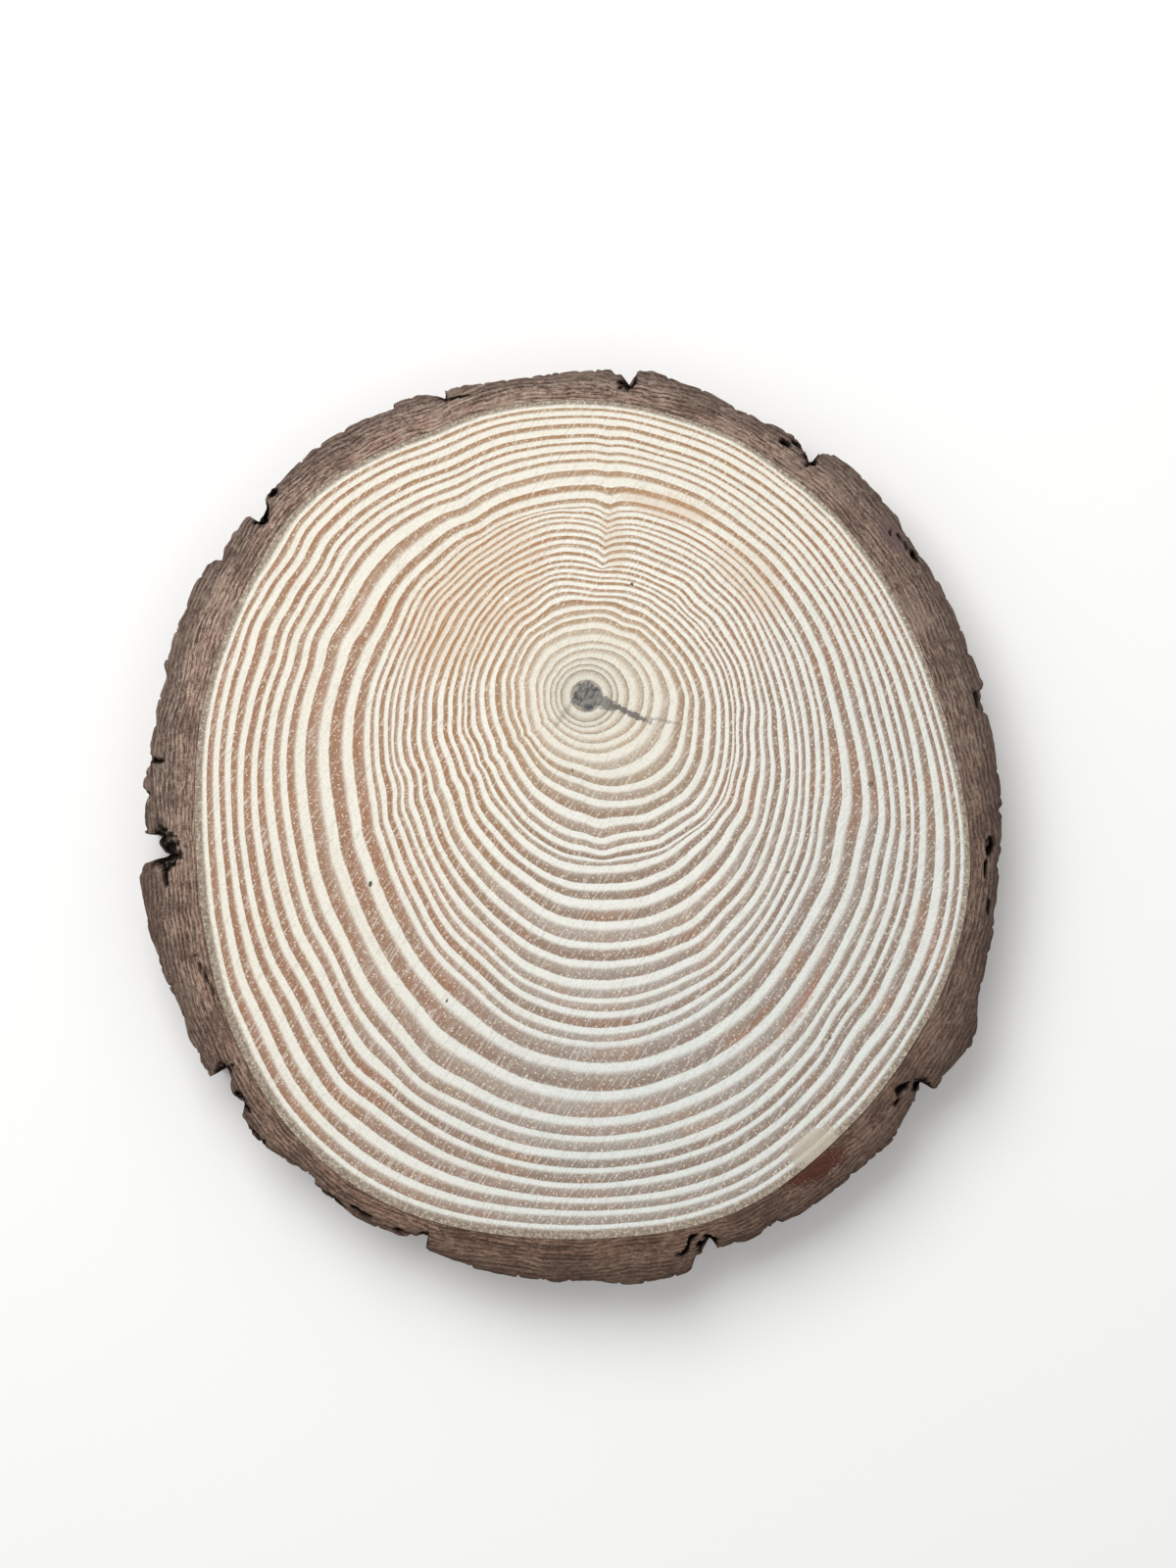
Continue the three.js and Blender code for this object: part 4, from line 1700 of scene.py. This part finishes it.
    def _outside(self, height: np.ndarray) -> np.ndarray:
        """How much of the scales shows at each height: all of them but close to the two saw cuts.

        Args:
            height: 0 at the lower saw cut and 1 at the upper.

        Returns:
            A share from 0 to 1.
        """
        margin = 0.03
        fullness = 0.4
        return np.sin(np.pi * np.clip(height * (1 - 2 * margin) + margin, 0, 1)) ** fullness

    def _level(
        self,
        degrees: np.ndarray,
        height: np.ndarray,
        depth: np.ndarray,
        inward: np.ndarray,
        drop: np.ndarray,
    ) -> np.ndarray:
        """The height of each place in millimetres, with the worn brink, the rough face and its cracks.

        Args:
            degrees: direction of each place.
            height: 0 at the lower saw cut and 1 at the upper.
            depth: 0 at the wood and 1 at the rim.
            inward: how far inside the rim it lies, in millimetres.
            drop: how far the upper face is broken down there, in millimetres.

        Returns:
            Its height above the lower saw cut.
        """
        upper, lower = height > 1 - NEAR, height < NEAR
        brink = np.clip(1 - inward / self.brink, 0, 1)
        rough = self.face_sink + self.face_rough * self.face_grain.at(degrees, depth)
        level = height * self.slice.thickness - np.where(upper, drop, 0)
        level = level - np.where(upper, rough, 0)
        worn = np.where(upper, -self.brink_drop, np.where(lower, self.brink_drop, 0))
        return level + worn * brink * brink

    def _profile(self) -> list[tuple[float, float]]:
        """Round the bark's section: out over the upper face, down the outside, in below, up the inside.

        The inside reaches a little into the wood between the faces, so that no light falls through the seam.
        """
        steps = range(self.across_upper + 1)
        upper = [1 - (1 - step / self.across_upper) ** self.crowding for step in steps]
        profile = [(1 + depth, 1.0) for depth in upper]
        profile += [(2.0, 1 - step / self.up_side) for step in range(1, self.up_side + 1)]
        profile += [(2 - step / self.across_lower, 0.0) for step in range(1, self.across_lower + 1)]
        return profile + [(1 - self.bite, height) for height in (0.06, 0.5, 0.94)]

    def _gap(self, degrees: np.ndarray) -> np.ndarray:
        """The seam to the wood, which stands open on one side."""
        return self.seam + self.open_seam * bell(turn_between(degrees, self.open_at) / self.open_spread)

    def _lean(self, degrees: np.ndarray, depth: np.ndarray) -> np.ndarray:
        """How far the furrows' tips are pushed round the trunk, in degrees.

        Args:
            degrees: direction of each place.
            depth: 0 at the wood and 1 at the rim.

        Returns:
            The turn at each place.
        """
        lean = np.zeros_like(degrees)
        for furrow in self.slice.rim.furrows:
            lean = lean + furrow.lean * furrow.opening(degrees) * depth
        return lean

    def _pits(self, degrees: np.ndarray, reach: np.ndarray) -> np.ndarray:
        """How far the upper sawn face is broken down by furrows and cracks, in millimetres.

        Args:
            degrees: direction of each place.
            reach: how far each place lies from the middle of the slice.

        Returns:
            The drop at each place.
        """
        rim = self.slice.rim
        widest = 12.0
        wall_from, wall_to = self.pit_wall
        drop = np.zeros_like(degrees)
        inward = rim.plate(degrees) - reach
        crumbled = self.crumble_by * self.crumble.at(degrees, inward / widest)
        for hollow in [*rim.hollows, *(furrow.root() for furrow in rim.furrows)]:
            round_it = np.radians(turn_between(degrees, hollow.at)) * reach / hollow.half_length
            across = (inward - hollow.inward) / hollow.half_width
            near = np.hypot(round_it, across) + crumbled
            wall = np.clip((wall_from - near) / (wall_from - wall_to), 0, 1)
            drop = np.maximum(drop, hollow.depth * wall)
        return drop

    def _scales(self, degrees: np.ndarray, height: np.ndarray) -> tuple[np.ndarray, np.ndarray]:
        """The scales of the outside.

        Args:
            degrees: direction of each place.
            height: 0 at the lower saw cut and 1 at the upper.

        Returns:
            How worn the scale at each place is, and how close the gap beside it is, both from 0 to 1.
        """
        rng = np.random.default_rng(41)
        at = rng.uniform(0, FULL_TURN, self.flakes)
        level = rng.uniform(-0.2, 1.2, self.flakes)
        worn = rng.uniform(0, 1, self.flakes)
        mm_per_degree = 2.0
        squash = 0.55
        nearest = np.full((2, len(degrees)), np.inf)
        which = np.zeros(len(degrees), int)
        wobble = 1.6 * Unevenness(43, 140, 5).at(degrees, height)
        lift = 2.2 * Unevenness(44, 140, 5).at(degrees, height)
        for index in range(self.flakes):
            round_it = turn_between(degrees, at[index]) * mm_per_degree + wobble
            up = (height - level[index]) * self.slice.thickness * squash + lift
            far = np.hypot(round_it, up)
            closer = far < nearest[0]
            nearest[1] = np.where(closer, nearest[0], np.minimum(nearest[1], far))
            nearest[0] = np.where(closer, far, nearest[0])
            which = np.where(closer, index, which)
        groove = 1 - np.clip((nearest[1] - nearest[0]) / self.gap_width, 0, 1)
        return worn[which], groove * groove

    def _lay_out(self, sheet: Sheet, depth: np.ndarray, degrees: np.ndarray, height: np.ndarray) -> None:
        """Lays the bark out as four long strips, one above the other.

        Args:
            sheet: the piece's mesh.
            depth: 0 at the wood and 1 at the rim.
            degrees: direction of each place.
            height: 0 at the lower saw cut and 1 at the upper.
        """
        quarters = 4
        margin = 0.004
        face = sheet.face_of_corner()
        corner_depth, corner_height = depth[sheet.corners], height[sheet.corners]
        middle_depth, middle_height = sheet.of_face(corner_depth)[face], sheet.of_face(corner_height)[face]
        turn = degrees[sheet.corners]
        starts = np.concatenate([[0], np.cumsum(np.bincount(face))[:-1]])
        first = np.minimum.reduceat(turn, starts)[face]
        last = np.maximum.reduceat(turn, starts)[face]
        wraps = last - first > 2 * FULL_TURN / self.steps
        turn = np.where(wraps & (turn < FULL_TURN / 2), turn + FULL_TURN, turn)
        middle_turn = sheet.of_face(turn)[face]
        quarter = np.clip(np.floor(middle_turn / FULL_TURN * quarters), 0, quarters - 1)
        along = turn / FULL_TURN * quarters - quarter
        above = np.where(middle_height > 1 - NEAR, 0.02 + 0.28 * corner_depth, 0.0)
        above = np.where(middle_depth > 1 - NEAR, 0.32 + 0.40 * (1 - corner_height), above)
        above = np.where(middle_height < NEAR, 0.74 + 0.18 * (1 - corner_depth), above)
        above = np.where(middle_depth < NEAR, 0.94 + 0.04 * corner_height, above)
        sheet.lay_out(np.stack([margin + (1 - 2 * margin) * along, (quarter + above) / quarters], 1))


@dataclass(frozen=True)
class Lamp:
    """A square soft light that looks at the slice.

    Attributes:
        name: its name.
        place: where it hangs, in metres.
        size: the length of its side, in metres.
        power: its power in watts.
    """

    name: str
    place: tuple[float, float, float]
    size: float
    power: float

    def hang(self) -> None:
        """Hangs it up."""
        light = bpy.data.lights.new(self.name, "AREA")
        light.size = self.size
        light.energy = self.power
        lamp = bpy.data.objects.new(self.name, light)
        lamp.location = self.place
        lamp.rotation_euler = (-Vector(self.place)).to_track_quat("-Z", "Y").to_euler()
        bpy.context.collection.objects.link(lamp)


@dataclass
class Studio:
    """The pale floor, the soft lights and the camera straight above the slice.

    Attributes:
        slice: where the slice lies.
        lamps: the soft lights.
        sky_strength: how bright the even sky is.
        floor_colour: colour of the floor, and floor_roughness how matt it is.
        floor_half: half the floor's side, in metres.
        lens: the camera's focal length in millimetres.
        sensor: height of the camera's sensor in millimetres.
        view_height: how much of the floor the view shows from top to bottom, in metres.
        aim_x: how far right of the slice's middle the camera looks, in metres.
        aim_y: how far above it, in metres.
        nearest: how close to the camera things are still drawn, in metres.
    """

    slice: Slice
    lamps: tuple[Lamp, ...] = (
        Lamp("key_light", (-0.34, 0.57, 0.88), 0.8, 9.0),
        Lamp("fill_light", (0.9, -0.6, 1.3), 1.4, 1.5),
    )
    sky_strength: float = 0.50
    floor_colour: str = "FCFCFB"
    floor_roughness: float = 0.9
    floor_half: float = 3.0
    lens: float = 70.0
    sensor: float = 36.0
    view_height: float = 0.400
    aim_x: float = 0.0044
    aim_y: float = 0.0109
    nearest: float = 0.01

    def build(self) -> None:
        """Sets everything up."""
        self._floor()
        self._lights()
        self._camera()
        bpy.context.scene.view_settings.view_transform = "Standard"

    def _floor(self) -> None:
        """A plain pale floor."""
        bm = bmesh.new()
        bmesh.ops.create_grid(bm, x_segments=1, y_segments=1, size=self.floor_half)
        mesh = bpy.data.meshes.new("floor")
        bm.to_mesh(mesh)
        bm.free()
        floor = bpy.data.objects.new("floor", mesh)
        floor.location.z = self.slice.low[2]
        bpy.context.collection.objects.link(floor)
        bench = Bench("pale_floor")
        bench.surface.inputs["Base Color"].default_value = paint(self.floor_colour)
        bench.surface.inputs["Roughness"].default_value = self.floor_roughness
        mesh.materials.append(bench.material)

    def _lights(self) -> None:
        """An even sky and the soft lights."""
        world = bpy.data.worlds.new("studio_sky")
        world.use_nodes = True
        sky = world.node_tree.nodes["Background"]
        sky.inputs["Color"].default_value = (1.0, 1.0, 1.0, 1.0)
        sky.inputs["Strength"].default_value = self.sky_strength
        bpy.context.scene.world = world
        for lamp in self.lamps:
            lamp.hang()

    def _camera(self) -> None:
        """A long lens straight above, with the slice a little below the middle of the view."""
        lens = bpy.data.cameras.new("camera")
        lens.lens = self.lens
        lens.sensor_width = self.sensor
        lens.clip_start = self.nearest
        camera = bpy.data.objects.new("camera", lens)
        middle = (Vector(self.slice.low) + Vector(self.slice.high)) / 2
        distance = self.view_height * self.lens / self.sensor
        camera.location = (middle.x + self.aim_x, middle.y + self.aim_y, self.slice.high[2] + distance)
        bpy.context.collection.objects.link(camera)
        bpy.context.scene.camera = camera


def main() -> None:
    """Builds the slice's pieces, then the floor, the lights and the camera."""
    logging.basicConfig(level=logging.INFO, format="%(name)s: %(message)s")
    low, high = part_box(NODE)
    wood_slice = Slice(tuple(low), tuple(high))
    for maker, slot in ((SawnWood(wood_slice), "sapwood"), (Bark(wood_slice), "bark")):
        piece = maker.build()
        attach(piece, "root")
        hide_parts(NODE)
        log.info("%s: %d faces", piece.name, len(piece.data.polygons))
    Studio(wood_slice).build()


if __name__ == "__main__":
    main()
